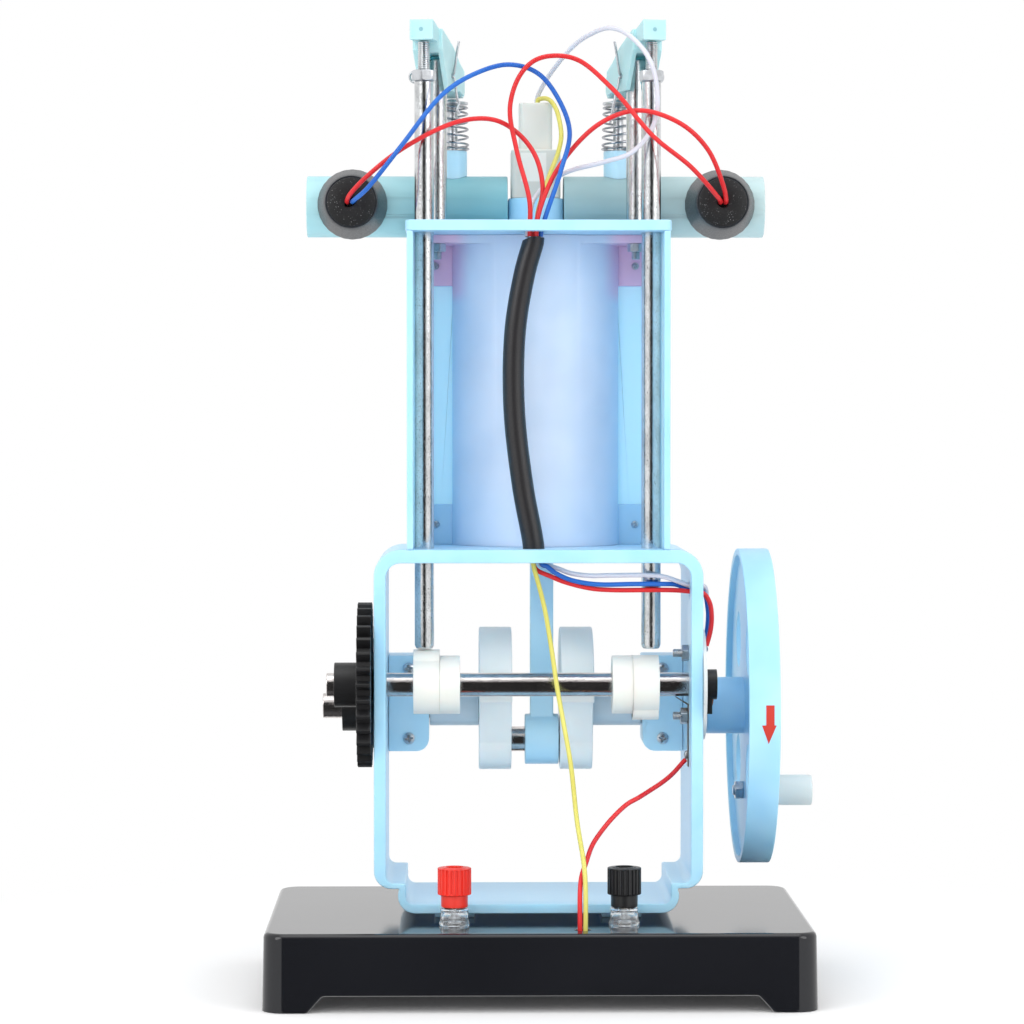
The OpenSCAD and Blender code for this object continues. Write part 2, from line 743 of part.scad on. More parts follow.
module case_inside() {
    ledge_z = case_z0 + pan_h + pan_floor - pan_wall / 2;
    in_r = pan_step_r - pan_floor;
    pan_in_x = case_x - pan_inset - pan_wall;
    translate([-case_in_x, ledge_z + in_r])
        square([2 * case_in_x, case_z1 - case_top - corner_in_r - ledge_z - in_r]);
    translate([-case_in_x + in_r, ledge_z]) square([2 * (case_in_x - in_r), in_r + over]);
    translate([-case_in_x + corner_in_r, case_z1 - case_top - corner_in_r - over])
        square([2 * (case_in_x - corner_in_r), corner_in_r + over]);
    for (s = [-1, 1]) {
        translate([s * (case_in_x - corner_in_r), case_z1 - case_top - corner_in_r]) circle(corner_in_r);
        translate([s * (case_in_x - in_r), ledge_z + in_r]) circle(in_r);
        translate([s * (pan_in_x - in_r), case_z0 + pan_floor + in_r]) circle(in_r);
    }
    translate([-pan_in_x, case_z0 + pan_floor + in_r]) square([2 * pan_in_x, ledge_z - case_z0 - pan_floor]);
    translate([-pan_in_x + in_r, case_z0 + pan_floor]) square([2 * (pan_in_x - in_r), in_r + over]);
}

module bearing_outline(x1) {
    translate([cap_x0, cap_z - cap_h / 2 + cap_corner_r]) square([x1 - cap_x0, cap_h - cap_corner_r]);
    translate([cap_x0 + cap_corner_r, cap_z - cap_h / 2]) square([x1 - cap_x0 - cap_corner_r, cap_h]);
    translate([cap_x0 + cap_corner_r, cap_z - cap_h / 2 + cap_corner_r]) circle(cap_corner_r);
}

module bearing_seats() {
    both_sides() along_y(crank_y, crank_y + seat_t) bearing_outline(case_in_x + over);
}

module crankcase() {
    color(sky) difference() {
        union() {
            along_y(case_y0, case_y1) difference() {
                case_outline();
                case_inside();
            }
            for (s = [-1, 1]) {
                translate([s * case_foot_spacing / 2, 0, base_h + case_foot_h / 2 + over / 2])
                    cube([case_foot_w, case_foot_l, case_foot_h + over], center = true);
            }
            bearing_seats();
        }
        x_rod(-case_w, case_w, shaft_d + 2 * run_fit, crank_y, crank_z);
        x_rod(-case_w, case_w, camshaft_d + 2 * run_fit, camshaft_y, camshaft_z);
        x_rod(case_x - 2 * case_wall, case_w, 2 * hole_r, hole_y, hole_z);
        for (s = [-1, 1]) {
            z_rod(case_z1 - 2 * case_top, case_z1 + over, rod_d + 2 * run_fit, s * lifter_x, camshaft_y);
            z_rod(0, case_z0 + 2 * pan_floor, screw_d + 2 * push_fit, s * case_foot_spacing / 2, 0);
            for (z = [-cap_screw_z, cap_screw_z]) {
                y_rod(0, crank_y + seat_t - over, screw_d + 2 * push_fit, s * cap_screw_x, cap_z + z);
            }
            x_rod(case_x - 2 * case_wall, case_w, m4_d + 2 * screw_fit, camshaft_y,
                camshaft_z + s * disc_screw_r);
        }
        z_rod(case_z1 - 2 * case_top, case_z1 + over, bore_d - 2 * case_lip, 0, crank_y);
        z_rod(case_z1 - 2 * case_top, case_z1 + over, sleeve_d + 2 * seat, wire_hole_x, wire_hole_y);
    }
}

// Screws that hold the bearing caps, the cylinder and the crankcase

module pan_screw(l) {
    cylinder(h = l, d = screw_d);
    difference() {
        translate([0, 0, -screw_head_h]) cylinder(h = screw_head_h, d = screw_head_d);
        for (a = [0, 90]) {
            rotate(a) translate([0, 0, -screw_head_h]) cube([slot_l, slot_w, slot_depth], center = true);
        }
    }
}

module frame_screws() {
    color(chrome) both_sides() {
        for (z = [-cap_screw_z, cap_screw_z]) {
            translate([cap_screw_x, crank_y - cap_t - push_fit, cap_z + z])
                rotate([-90, 0, 0]) pan_screw(cap_screw_l);
        }
        for (z = [case_z1 + lug_h / 2, plate_z - flange_t - lug_h / 2]) {
            translate([lug_screw_x, lug_y - push_fit, z]) rotate([-90, 0, 0]) pan_screw(lug_screw_l);
        }
        translate([case_foot_spacing / 2, 0, base_h - base_wall - base_boss_h - push_fit])
            pan_screw(case_screw_l);
    }
}

module bearing_cap() {
    difference() {
        along_y(crank_y - cap_t, crank_y - push_fit) bearing_outline(cap_x1);
        x_rod(0, case_w, shaft_d + 2 * run_fit, crank_y, crank_z);
        for (z = [-cap_screw_z, cap_screw_z]) {
            y_rod(0, crank_y + over, screw_d + 2 * screw_fit, cap_screw_x, cap_z + z);
        }
    }
}

module left_bearing_cap() {
    color(sky) mirror([1, 0, 0]) bearing_cap();
}

module right_bearing_cap() {
    color(sky) bearing_cap();
}

// Body, cylinder and plate

module engine_body() {
    z0 = case_z1 + push_fit;
    z1 = plate_z - push_fit;
    window = cylinder_r + window_gap;
    color(sky) difference() {
        union() {
            both_sides() box(body_x - body_wall, body_x, case_y0, case_y1, z0, z1);
            box(-body_x, body_x, front_y, case_y1, z0, z1);
        }
        box(-window, window, 0, case_d, z0 - over, z1 - 2 * front_t);
        for (s = [-1, 1], z = [case_z1 + lug_h / 2, plate_z - flange_t - lug_h / 2]) {
            y_rod(0, case_d, screw_d + 2 * push_fit, s * lug_screw_x, z);
        }
    }
}

module cylinder_section(r) {
    intersection() {
        circle(r);
        translate([-r, -r]) square([2 * r, r + front_y - seat - crank_y]);
    }
}

module engine_cylinder() {
    z0 = case_z1 + push_fit;
    z1 = plate_z - flange_t;
    color(nylon) difference() {
        union() {
            translate([0, crank_y, z0]) linear_extrude(z1 - z0 + over) cylinder_section(cylinder_out_r);
            for (z = [z0, z1 - lug_h]) {
                both_sides() box(cylinder_r + over, lug_x, lug_y, front_y - seat, z, z + lug_h);
            }
            box(-flange_x, flange_x, post_y - flange_edge, front_y - seat, z1, plate_z - push_fit);
            translate([0, crank_y, z1]) linear_extrude(flange_t - push_fit) cylinder_section(cylinder_out_r);
        }
        translate([0, crank_y, z0 - over]) cylinder(h = z1 - z0 + over, r = cylinder_r);
        for (s = [-1, 1]) {
            z_rod(z1 - over, plate_z + over, m4_d + 2 * screw_fit, s * post_x, post_y);
            for (z = [case_z1 + lug_h / 2, z1 - lug_h / 2]) {
                y_rod(0, case_d, screw_d + 2 * screw_fit, s * lug_screw_x, z);
            }
        }
    }
}

module head_plate() {
    depth = plate_y1 - case_y0;
    color(sky) difference() {
        translate([0, case_y0 + depth / 2, plate_z]) linear_extrude(plate_t)
            rounded_rect(plate_w, depth, plate_r);
        for (s = [-1, 1]) {
            z_rod(0, plate_z + 2 * plate_t, rod_d + 2 * run_fit, s * lifter_x, camshaft_y);
            z_rod(0, plate_z + 2 * plate_t, m4_d + 2 * screw_fit, s * post_x, post_y);
        }
        z_rod(0, plate_z + 2 * plate_t, 2 * wire_hole_r, wire_hole_x, wire_hole_y);
    }
}

module cylinder_head() {
    color(sky) difference() {
        z_rod(plate_z, boss_top, boss_d, 0, crank_y);
        box(-boss_d, boss_d, 0, plate_y1 + push_fit, plate_z - over, plate_z + plate_t + push_fit);
        both_sides() x_rod(pipe_start - seat, pipe_end, pipe_d + 2 * seat, crank_y, pipe_z);
        z_rod(boss_top - lamp_seat, boss_top + over, 2 * lamp_hole_r, 0, crank_y);
    }
}

// Pipes, guides and lamps

module pipe() {
    color(teal) difference() {
        x_rod(pipe_start, pipe_end, pipe_d, crank_y, pipe_z);
        x_rod(pipe_start + pipe_wall, pipe_end + over, pipe_d - 2 * pipe_wall, crank_y, pipe_z);
        z_rod(pipe_z, pipe_z + pipe_d, stem_d + 2 * seat, valve_x, crank_y);
        y_rod(0, crank_y, 2 * lamp_hole_r, lamp_cap_x, pipe_z);
    }
}

module exhaust_pipe() {
    pipe();
}

module inlet_pipe() {
    mirror([1, 0, 0]) pipe();
}

module valve_guides() {
    color(sky) both_sides() difference() {
        z_rod(pipe_z, guide_top, guide_d, valve_x, crank_y);
        z_rod(0, guide_top + over, stem_d + 2 * run_fit, valve_x, crank_y);
        x_rod(0, pipe_end, pipe_d + 2 * push_fit, crank_y, pipe_z);
    }
}

// The caps lean a little, as pushed in by hand
module lamp_cap() {
    difference() {
        translate([lamp_cap_x, lamp_cap_y1, pipe_z]) rotate([90, 0, 0])
            cylinder(h = lamp_cap_l, d1 = lamp_cap_d, d2 = lamp_cap_end_d);
        x_rod(0, pipe_end, pipe_d + 2 * push_fit, crank_y, pipe_z);
        y_rod(lamp_cap_y0 + cap_bore_rise, crank_y, 2 * lamp_base_r + 2 * push_fit, lamp_cap_x, pipe_z);
        y_rod(lamp_cap_y0 + cap_glass_rise, crank_y, 2 * lamp_hole_r, lamp_cap_x, pipe_z);
    }
}

module left_lamp_cap() {
    color(glossy_black) mirror([1, 0, 0]) lamp_cap();
}

module right_lamp_cap() {
    color(glossy_black) lamp_cap();
}

module lamp() {
    cylinder(h = lamp_base_l, r = lamp_base_r);
    translate([0, 0, lamp_base_l + lamp_glass_r - glass_sink]) sphere(lamp_glass_r);
}

module lamps() {
    color(brass) {
        both_sides() translate([lamp_cap_x, lamp_cap_y0 + lamp_rise, pipe_z]) rotate([-90, 0, 0]) lamp();
        translate([0, crank_y, boss_top - lamp_seat + push_fit]) lamp();
    }
}

module spark_lamp_holder() {
    color(nylon, 0.8) difference() {
        translate([0, crank_y, boss_top]) {
            translate([0, 0, push_fit]) linear_extrude(holder_h - push_fit)
                rounded_rect(holder_w, holder_w, holder_r);
            translate([0, 0, holder_h - over]) linear_extrude(holder_top_h + over)
                rounded_rect(holder_top_w, holder_top_w, holder_r);
        }
        z_rod(boss_top - over, boss_top + holder_h, 2 * lamp_hole_r, 0, crank_y);
    }
}

// Posts and their nuts

module rocker_post() {
    difference() {
        union() {
            z_rod(plate_z + plate_t + push_fit, post_top, rod_d, post_x, post_y);
            z_rod(plate_z - flange_t - post_stud_l, plate_z + plate_t + over, m4_d, post_x, post_y);
        }
        pivot_bore(pivot_d + 2 * push_fit);
    }
}

// The right rocker's own frame: x along the arm from its pivot, z up
module at_pivot() {
    translate([post_x, post_y, pivot_z]) rotate(180 - arm_turn) children();
}

module pivot_bore(d) {
    at_pivot() rotate([90, 0, 0]) cylinder(h = 2 * clevis_w, d = d, center = true);
}

module rocker_posts() {
    color(chrome) both_sides() rocker_post();
}

module post_nuts() {
    color(chrome) both_sides() translate([post_x, post_y, plate_z - flange_t - push_fit - post_nut_h])
        hex_nut(m4_across, post_nut_h, m4_d + 2 * push_fit);
}

// Contacts beside the camshaft

module contact_disc() {
    color(nylon) difference() {
        x_rod(disc_x, disc_x + disc_t, disc_d, camshaft_y, camshaft_z);
        x_rod(0, case_w, camshaft_d + 2 * run_fit, camshaft_y, camshaft_z);
        for (s = [-1, 1]) {
            translate([0, camshaft_y, camshaft_z + s * disc_screw_r]) disc_screw_shape(push_fit);
        }
    }
}

module disc_screw_shape(gap) {
    x_rod(disc_screw_x, disc_x + disc_t, m4_d + 2 * gap, 0, 0);
    translate([disc_x + disc_t - sink_l, 0, 0]) rotate([0, 90, 0])
        cylinder(h = sink_l, r1 = m4_d / 2 + gap, r2 = sink_r + gap);
}

module disc_screws() {
    color(chrome) for (s = [-1, 1]) {
        nut_x = case_in_x - m4_nut_h - push_fit - (s < 0 ? strip_room : 0);
        translate([0, camshaft_y, camshaft_z + s * disc_screw_r]) {
            disc_screw_shape(0);
            translate([nut_x, 0, 0]) rotate([0, 90, 0]) hex_nut(m4_across, m4_nut_h, m4_d + 2 * push_fit);
        }
    }
}

module contact_strip() {
    x1 = case_in_x - push_fit;
    x0 = x1 - strip_t;
    foot = camshaft_z - strip_l;
    bend_z = camshaft_z - strip_bend;
    tip_z = camshaft_z - camshaft_d / 2 - seat;
    color(brass) difference() {
        along_y(camshaft_y - strip_w / 2, camshaft_y + strip_w / 2)
            polygon([[x1, foot], [x1, bend_z], [x1 - strip_reach, tip_z], [x0 - strip_reach, tip_z],
                [x0, bend_z - strip_t], [x0, foot]]);
        x_rod(0, case_w, m4_d + 2 * screw_fit, camshaft_y, camshaft_z - disc_screw_r);
    }
}

// Sleeve and wires

module wire_sleeve() {
    color(glossy_black) tube(sleeve_route, sleeve_d, 12);
}

module left_lamp_wires() {
    color(wire_blue) wire(left_blue_route);
    color(wire_red) wire(left_red_route);
}

module right_lamp_wires() {
    color(wire_red) wire(right_high_route);
    color(wire_red) wire(right_low_route);
}

module spark_lamp_wires() {
    color(wire_yellow) wire(yellow_lamp_route);
    color(wire_white) wire(white_lamp_route);
}

module disc_wires() {
    color(wire_blue) wire(disc_blue_route);
    color(wire_red) wire(disc_red_route);
    color(wire_white) wire(disc_white_route);
}

module base_wires() {
    color(wire_yellow) wire(base_yellow_route);
    color(wire_red) wire(base_red_route);
}

// Terminals

module terminal_insulators() {
    color("white", 0.5) for (s = [-1, 1]) {
        translate([s * terminal_x, terminal_y, 0]) difference() {
            translate([0, 0, base_h + push_fit])
                cylinder(h = insulator_h - push_fit, d1 = insulator_foot_d, d2 = insulator_top_d);
            z_rod(0, 2 * base_h, stud_d + 2 * screw_fit, 0, 0);
        }
    }
}

module terminal_studs() {
    color(chrome) for (s = [-1, 1]) {
        translate([s * terminal_x, terminal_y, 0]) {
            z_rod(base_h - stud_drop, knob_z + stud_rise, stud_d, 0, 0);
            translate([0, 0, base_h - base_wall - push_fit - stud_nut_h])
                hex_nut(stud_nut_across, stud_nut_h, stud_d + 2 * push_fit);
        }
    }
}

module insert() {
    difference() {
        z_rod(knob_z, knob_top - recess_h, insert_d, 0, 0);
        z_rod(knob_z - over, knob_z + stud_hole_l, stud_d + 2 * run_fit, 0, 0);
        z_rod(knob_z + socket_floor, knob_top, socket_d, 0, 0);
    }
}

module knob() {
    grip_z = knob_z + collar_h;
    difference() {
        union() {
            z_rod(knob_z, grip_z + over, collar_d, 0, 0);
            z_rod(grip_z, knob_top - knob_chamfer, knob_d, 0, 0);
            translate([0, 0, knob_top - knob_chamfer])
                cylinder(h = knob_chamfer, d1 = knob_d, d2 = knob_d - 2 * knob_chamfer);
        }
        z_rod(knob_z - over, knob_top + over, recess_d, 0, 0);
        for (k = [1 : rib_count]) {
            rotate(k * 360 / rib_count)
                z_rod(grip_z + over, knob_top + over, 2 * rib_r, knob_d / 2, 0, $fn = 16);
        }
    }
}

module red_knob() {
    color(wire_red) translate([-terminal_x, terminal_y, 0]) knob();
}

module black_knob() {
    color(glossy_black) translate([terminal_x, terminal_y, 0]) knob();
}

module red_insert() {
    color(chrome) translate([-terminal_x, terminal_y, 0]) insert();
}

module black_insert() {
    color(chrome) translate([terminal_x, terminal_y, 0]) insert();
}

// Crank

module crankshaft() {
    color(chrome) {
        x_rod(shaft_left, -web_x0, shaft_d, crank_y, crank_z);
        x_rod(web_x0, shaft_right, shaft_d, crank_y, crank_z);
        x_rod(-web_x1, web_x1, shaft_d, crank_y, pin_z);
    }
}

module web_outline() {
    translate([0, -crank_r]) circle(web_pin_r);
    polygon([[-web_pin_r, -crank_r], [web_pin_r, -crank_r], [web_side_x, web_side_y],
        [-web_side_x, web_side_y]]);
    intersection() {
        circle(weight_r);
        translate([-weight_r, weight_edge]) square([2 * weight_r, weight_r]);
    }
}

module crank_webs() {
    color(nylon) both_sides() difference() {
        translate([0, crank_y, crank_z]) along_x(web_x0, web_x1) web_outline();
        x_rod(0, 2 * web_x1, shaft_d + 2 * push_fit, crank_y, crank_z);
        x_rod(0, 2 * web_x1, shaft_d + 2 * push_fit, crank_y, pin_z);
    }
}

module journal_spacers() {
    color(sky) both_sides() difference() {
        x_rod(web_x1 + push_fit, cap_x0 - seat, spacer_d, crank_y, crank_z);
        x_rod(0, case_w, shaft_d + 2 * push_fit, crank_y, crank_z);
    }
}

// Gears with involute flanks

function involute(base_r, r) = let (a = acos(base_r / r)) tan(a) * 180 / PI - a;
function gear_points(teeth, backlash) = let (
    r = gear_module * teeth / 2,
    base_r = r * cos(pressure_angle),
    tip_r = r + gear_module * tooth_top,
    root_r = r - gear_module * tooth_root,
    half = 90 / teeth - backlash / r * 90 / PI + involute(base_r, r),
    flank = [for (k = [0 : 4]) base_r + (tip_r - base_r) * k / 4])
    [for (t = [0 : teeth - 1]) let (mid = t * 360 / teeth) each concat(
        [polar(root_r, mid - half)],
        [for (k = [0 : 4]) polar(flank[k], mid - half + involute(base_r, flank[k]))],
        [for (k = [4 : -1 : 0]) polar(flank[k], mid + half - involute(base_r, flank[k]))],
        [polar(root_r, mid + half)])];
function polar(r, a) = [r * cos(a), r * sin(a)];

mesh_turn = atan2(crank_z - camshaft_z, cam_offset_y);

module gear_blank(teeth, turn) {
    along_x(-gear_x - gear_face, -gear_x) rotate(turn) polygon(gear_points(teeth, gear_backlash));
}

module crank_gear() {
    color(glossy_black) translate([0, crank_y, crank_z]) difference() {
        union() {
            gear_blank(crank_teeth, mesh_turn + 180 + 180 / crank_teeth);
            x_rod(-gear_x - gear_face - crank_hub_l, -gear_x - over, 2 * crank_hub_r, 0, 0);
            x_rod(-gear_x - over, -case_x - seat, 2 * gear_spacer_r, 0, 0);
        }
        x_rod(-case_w, 0, shaft_d + 2 * push_fit, 0, 0);
    }
}

module cam_gear() {
    color(glossy_black) translate([0, camshaft_y, camshaft_z]) difference() {
        union() {
            gear_blank(2 * crank_teeth, mesh_turn);
            x_rod(-gear_x - gear_face - cam_hub_l, -gear_x - over, 2 * cam_hub_r, 0, 0);
            x_rod(-gear_x - over, -case_x - seat, 2 * gear_spacer_r, 0, 0);
        }
        x_rod(-case_w, 0, camshaft_d + 2 * push_fit, 0, 0);
    }
}

// Handwheel and handle

module handwheel() {
    color(sky) translate([0, crank_y, crank_z]) difference() {
        union() {
            difference() {
                x_rod(rim_x, rim_x + rim_w, wheel_d, 0, 0);
                x_rod(rim_x - over, rim_x + rim_w + over, wheel_d - 2 * rim_t, 0, 0);
            }
            x_rod(wheel_web_x, wheel_web_x + wheel_web_t, wheel_d - rim_t, 0, 0);
            x_rod(wheel_hub_x, wheel_web_x + wheel_web_t, wheel_hub_d, 0, 0);
        }
        x_rod(0, case_w, shaft_d + 2 * push_fit, 0, 0);
        for (k = [1 : wheel_hole_count]) {
            a = (k - 1 / 2) * 360 / wheel_hole_count;
            x_rod(wheel_web_x - over, wheel_web_x + wheel_web_t + over, 2 * wheel_hole_r,
                hole_ring_r * cos(a), hole_ring_r * sin(a));
        }
        x_rod(0, case_w, bolt_d + 2 * push_fit, 0, -handle_r);
    }
}

module handle_bolt() {
    x0 = wheel_web_x;
    x1 = wheel_web_x + wheel_web_t + seat + handle_l - bolt_recess;
    color(chrome) translate([0, crank_y, crank_z - handle_r]) {
        x_rod(x0 - bolt_rear, x1, bolt_d, 0, 0);
        x_rod(x1 - push_fit, x1 + bolt_head_h, bolt_head_d, 0, 0);
        translate([x0 - bolt_nut_h - push_fit, 0, 0]) rotate([0, 90, 0])
            hex_nut(bolt_nut_across, bolt_nut_h, bolt_d + 2 * push_fit);
    }
}

module handle() {
    x0 = wheel_web_x + wheel_web_t + seat;
    color(nylon) translate([0, crank_y, crank_z - handle_r]) difference() {
        x_rod(x0, x0 + handle_l, handle_d, 0, 0);
        x_rod(x0 - over, x0 + handle_l, bolt_d + 2 * run_fit, 0, 0);
        x_rod(x0 + handle_l - bolt_recess - run_fit, x0 + handle_l + over, bolt_head_d + 2 * seat, 0, 0);
    }
}

// Connecting rod and piston

module connecting_rod() {
    big_x = rod_x - big_end_w / 2;
    color(sky) difference() {
        union() {
            x_rod(big_x, big_x + big_end_w, 2 * big_end_r, crank_y, pin_z);
            translate([rod_x, crank_y, (pin_z + wrist_z) / 2])
                cube([shank_w, shank_t, rod_length], center = true);
            x_rod(rod_x - shank_w / 2, rod_x + shank_w / 2, small_end_d, crank_y, wrist_z);
        }
        x_rod(-case_w, case_w, shaft_d + 2 * run_fit, crank_y, pin_z);
        x_rod(-case_w, case_w, wrist_d + 2 * push_fit, crank_y, wrist_z);
    }
}

module wrist_pin() {
    color(chrome) x_rod(rod_x - wrist_l / 2, rod_x + wrist_l / 2, wrist_d, crank_y, wrist_z);
}

module piston() {
    top = skirt_z + piston_h;
    color("#e9edf2") difference() {
        z_rod(skirt_z, top, 2 * piston_r, 0, crank_y);
        z_rod(skirt_z - over, top - piston_wall, 2 * (piston_r - piston_wall), 0, crank_y);
        for (k = [1 : ring_count]) {
            z = top - k * ring_pitch;
            difference() {
                z_rod(z, z + ring_h, 2 * piston_r + over, 0, crank_y);
                z_rod(z, z + ring_h, 2 * (piston_r - ring_depth), 0, crank_y);
            }
        }
    }
}

module piston_rings() {
    color("#4d5158") for (k = [1 : ring_count]) {
        z = skirt_z + piston_h - k * ring_pitch;
        difference() {
            z_rod(z + ring_gap, z + ring_h - ring_gap, 2 * ring_r, 0, crank_y);
            z_rod(z, z + ring_h, 2 * (piston_r - ring_depth + push_fit), 0, crank_y);
        }
    }
}

// Camshaft

module camshaft() {
    color(chrome) x_rod(camshaft_left, camshaft_right, camshaft_d, camshaft_y, camshaft_z);
}

// A round cam with one lobe: the tip circle is as wide as the lobe's nose
module cam_outline() {
    tip_x = lobe_r - cam_tip_r;
    circle(cam_base_r);
    translate([tip_x, 0]) circle(cam_tip_r);
    polygon([[0, -cam_base_r], [tip_x, -cam_tip_r], [tip_x, cam_tip_r], [0, cam_base_r]]);
}

module cam(lobe_x, hub_x, turn) {
    color(nylon) translate([0, camshaft_y, camshaft_z]) difference() {
        union() {
            along_x(lobe_x, lobe_x + lobe_w) rotate(turn) cam_outline();
            x_rod(hub_x, hub_x + cam_hub_w, 2 * lobe_hub_r, 0, 0);
        }
        x_rod(-case_w, case_w, camshaft_d + 2 * push_fit, 0, 0);
    }
}

module left_cam() {
    lobe_x = -lifter_x - lobe_w / 2 + left_cam_shift;
    cam(lobe_x, lobe_x + lobe_w - push_fit, left_lobe_turn);
}

module right_cam() {
    lobe_x = lifter_x - lobe_w / 2 - right_cam_shift;
    cam(lobe_x, lobe_x - cam_hub_w + push_fit, right_lobe_turn);
}

module distributor_rotor() {
    x0 = disc_x + disc_t + rotor_gap;
    color(glossy_black) translate([0, camshaft_y, camshaft_z]) difference() {
        union() {
            x_rod(x0, camshaft_right + over, rotor_hub_d, 0, 0);
            box(x0, x0 + rotor_t, -rotor_w / 2, rotor_w / 2, -rotor_reach, 0);
        }
        x_rod(0, camshaft_right + push_fit, camshaft_d + 2 * push_fit, 0, 0);
    }
}

// Push-rods, rockers, valves and springs

module push_rod() {
    nut_z = rocker_z - seat - thread_l - lock_nut_h;
    tip_z = rocker_z - seat;
    translate([lifter_x, camshaft_y, 0]) {
        z_rod(foot_z, nut_z - push_fit, rod_d, 0, 0);
        intersection() {
            z_rod(nut_z - over, tip_z, thread_d, 0, 0);
            translate([0, 0, tip_z - thread_tip_r]) {
                sphere(thread_tip_r);
                z_rod(-2 * thread_l, 0, 2 * thread_tip_r, 0, 0);
            }
        }
        translate([0, 0, nut_z]) hex_nut(lock_nut_across, lock_nut_h, thread_d + 2 * push_fit);
    }
}

module left_push_rod() {
    color(chrome) mirror([1, 0, 0]) push_rod();
}

module right_push_rod() {
    color(chrome) push_rod();
}

// Side view of a rocker, measured along the arm from its pivot
module rocker_side() {
    s0 = -near_arm - near_end;
    top = pivot_drop + rocker_h;
    polygon([[s0, pivot_drop], [s0, top], for (p = rocker_top_points) [s0, top] + p,
        [far_arm + nose_r, top - far_drop], [far_arm + nose_r, nose_r - nose_drop], [far_arm, -nose_drop],
        [far_arm - far_foot_l, -far_foot_drop], [cheek_l, -cheek_drop], [-cheek_l, -cheek_drop],
        [s0 + rocker_w, pivot_drop - cheek_start], [s0 + rocker_w - cheek_start, pivot_drop]]);
}

module rocker() {
    slot = rod_d + 2 * seat;
    at_pivot() difference() {
        union() {
            along_y(-rocker_w / 2, rocker_w / 2) rocker_side();
            along_y(-clevis_w / 2, clevis_w / 2) intersection() {
                rocker_side();
                translate([-near_arm + near_end + over, -slot_reach])
                    square([near_arm + far_arm - 2 * near_end, 2 * slot_reach]);
            }
        }
        box(slot_start + near_end - near_arm, slot_end, -slot / 2, slot / 2, -slot_reach, slot_top);
        rotate([90, 0, 0]) cylinder(h = 2 * clevis_w, d = pivot_d + 2 * run_fit, center = true);
    }
}

module left_rocker() {
    color(teal) mirror([1, 0, 0]) rocker();
}

module right_rocker() {
    color(teal) rocker();
}

module rocker_pin() {
    at_pivot() {
        rotate([90, 0, 0]) cylinder(h = clevis_w + pin_over, d = pivot_d, center = true);
        translate([0, clevis_w / 2 + pin_ring_gap, 0]) rotate([0, 90, 0])
            cylinder(h = pin_ring_t, d = pin_ring_d, center = true);
    }
}

module left_rocker_pin() {
    color(chrome) mirror([1, 0, 0]) rocker_pin();
}

module right_rocker_pin() {
    color(chrome) rocker_pin();
}

module valve() {
    head_z = pipe_z - valve_head_t;
    translate([valve_x, crank_y, 0]) {
        z_rod(head_z, stem_top, stem_d, 0, 0);
        z_rod(head_z, pipe_z, valve_head_d, 0, 0);
        z_rod(retainer_z, retainer_z + retainer_h, spring_top_d, 0, 0);
    }
}

module inlet_valve() {
    color(chrome) mirror([1, 0, 0]) valve();
}

module exhaust_valve() {
    color(chrome) valve();
}

// A helix that narrows upwards, with straight upright ends
function coil_at(k) = let (u = k / (spring_turns * coil_sides), r = (spring_d - spring_wire) / 2
    - u * (spring_d - spring_top_d) / 2, h = spring_l - 2 * spring_wire)
    [r * cos(k * 360 / coil_sides), r * sin(k * 360 / coil_sides), spring_wire + h * u];
coil = [for (k = [0 : spring_turns * coil_sides]) coil_at(k)];
coil_route = concat([[coil[0][0], coil[0][1], 0]], coil,
    [[coil[len(coil) - 1][0], coil[len(coil) - 1][1], spring_l]]);
coil_gaps = [for (i = [0 : len(coil) - 1], j = [i + 5 : 1 : len(coil) - 1]) norm(coil[i] - coil[j])];
echo("least gap between the spring's curls", min(coil_gaps) - spring_wire);

module spring() {
    translate([valve_x, crank_y, spring_foot]) tube(coil_route, spring_wire, 6);
}

module inlet_spring() {
    color(chrome) mirror([1, 0, 0]) spring();
}

module exhaust_spring() {
    color(chrome) spring();
}

placed() base();
placed() crankcase();
placed() frame_screws();
placed() left_bearing_cap();
placed() right_bearing_cap();
placed() engine_body();
placed() engine_cylinder();
placed() head_plate();
placed() cylinder_head();
placed() inlet_pipe();
placed() exhaust_pipe();
placed() valve_guides();
placed() left_lamp_cap();
placed() right_lamp_cap();
placed() lamps();
placed() spark_lamp_holder();
placed() rocker_posts();
placed() post_nuts();
placed() contact_disc();
placed() disc_screws();
placed() contact_strip();
placed() wire_sleeve();
placed() left_lamp_wires();
placed() right_lamp_wires();
placed() spark_lamp_wires();
placed() disc_wires();
placed() base_wires();
placed() terminal_insulators();
placed() terminal_studs();
placed() crankshaft();
placed() crank_webs();
placed() journal_spacers();
placed() crank_gear();
placed() handwheel();
placed() handle_bolt();
placed() handle();
placed() connecting_rod();
placed() wrist_pin();
placed() piston();
placed() piston_rings();
placed() camshaft();
placed() left_cam();
placed() right_cam();
placed() cam_gear();
placed() distributor_rotor();
placed() left_push_rod();
placed() right_push_rod();
placed() left_rocker();
placed() right_rocker();
placed() left_rocker_pin();
placed() right_rocker_pin();
placed() inlet_valve();
placed() exhaust_valve();
placed() inlet_spring();
placed() exhaust_spring();
placed() red_knob();
placed() black_knob();
placed() red_insert();
placed() black_insert();
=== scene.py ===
import json
import math

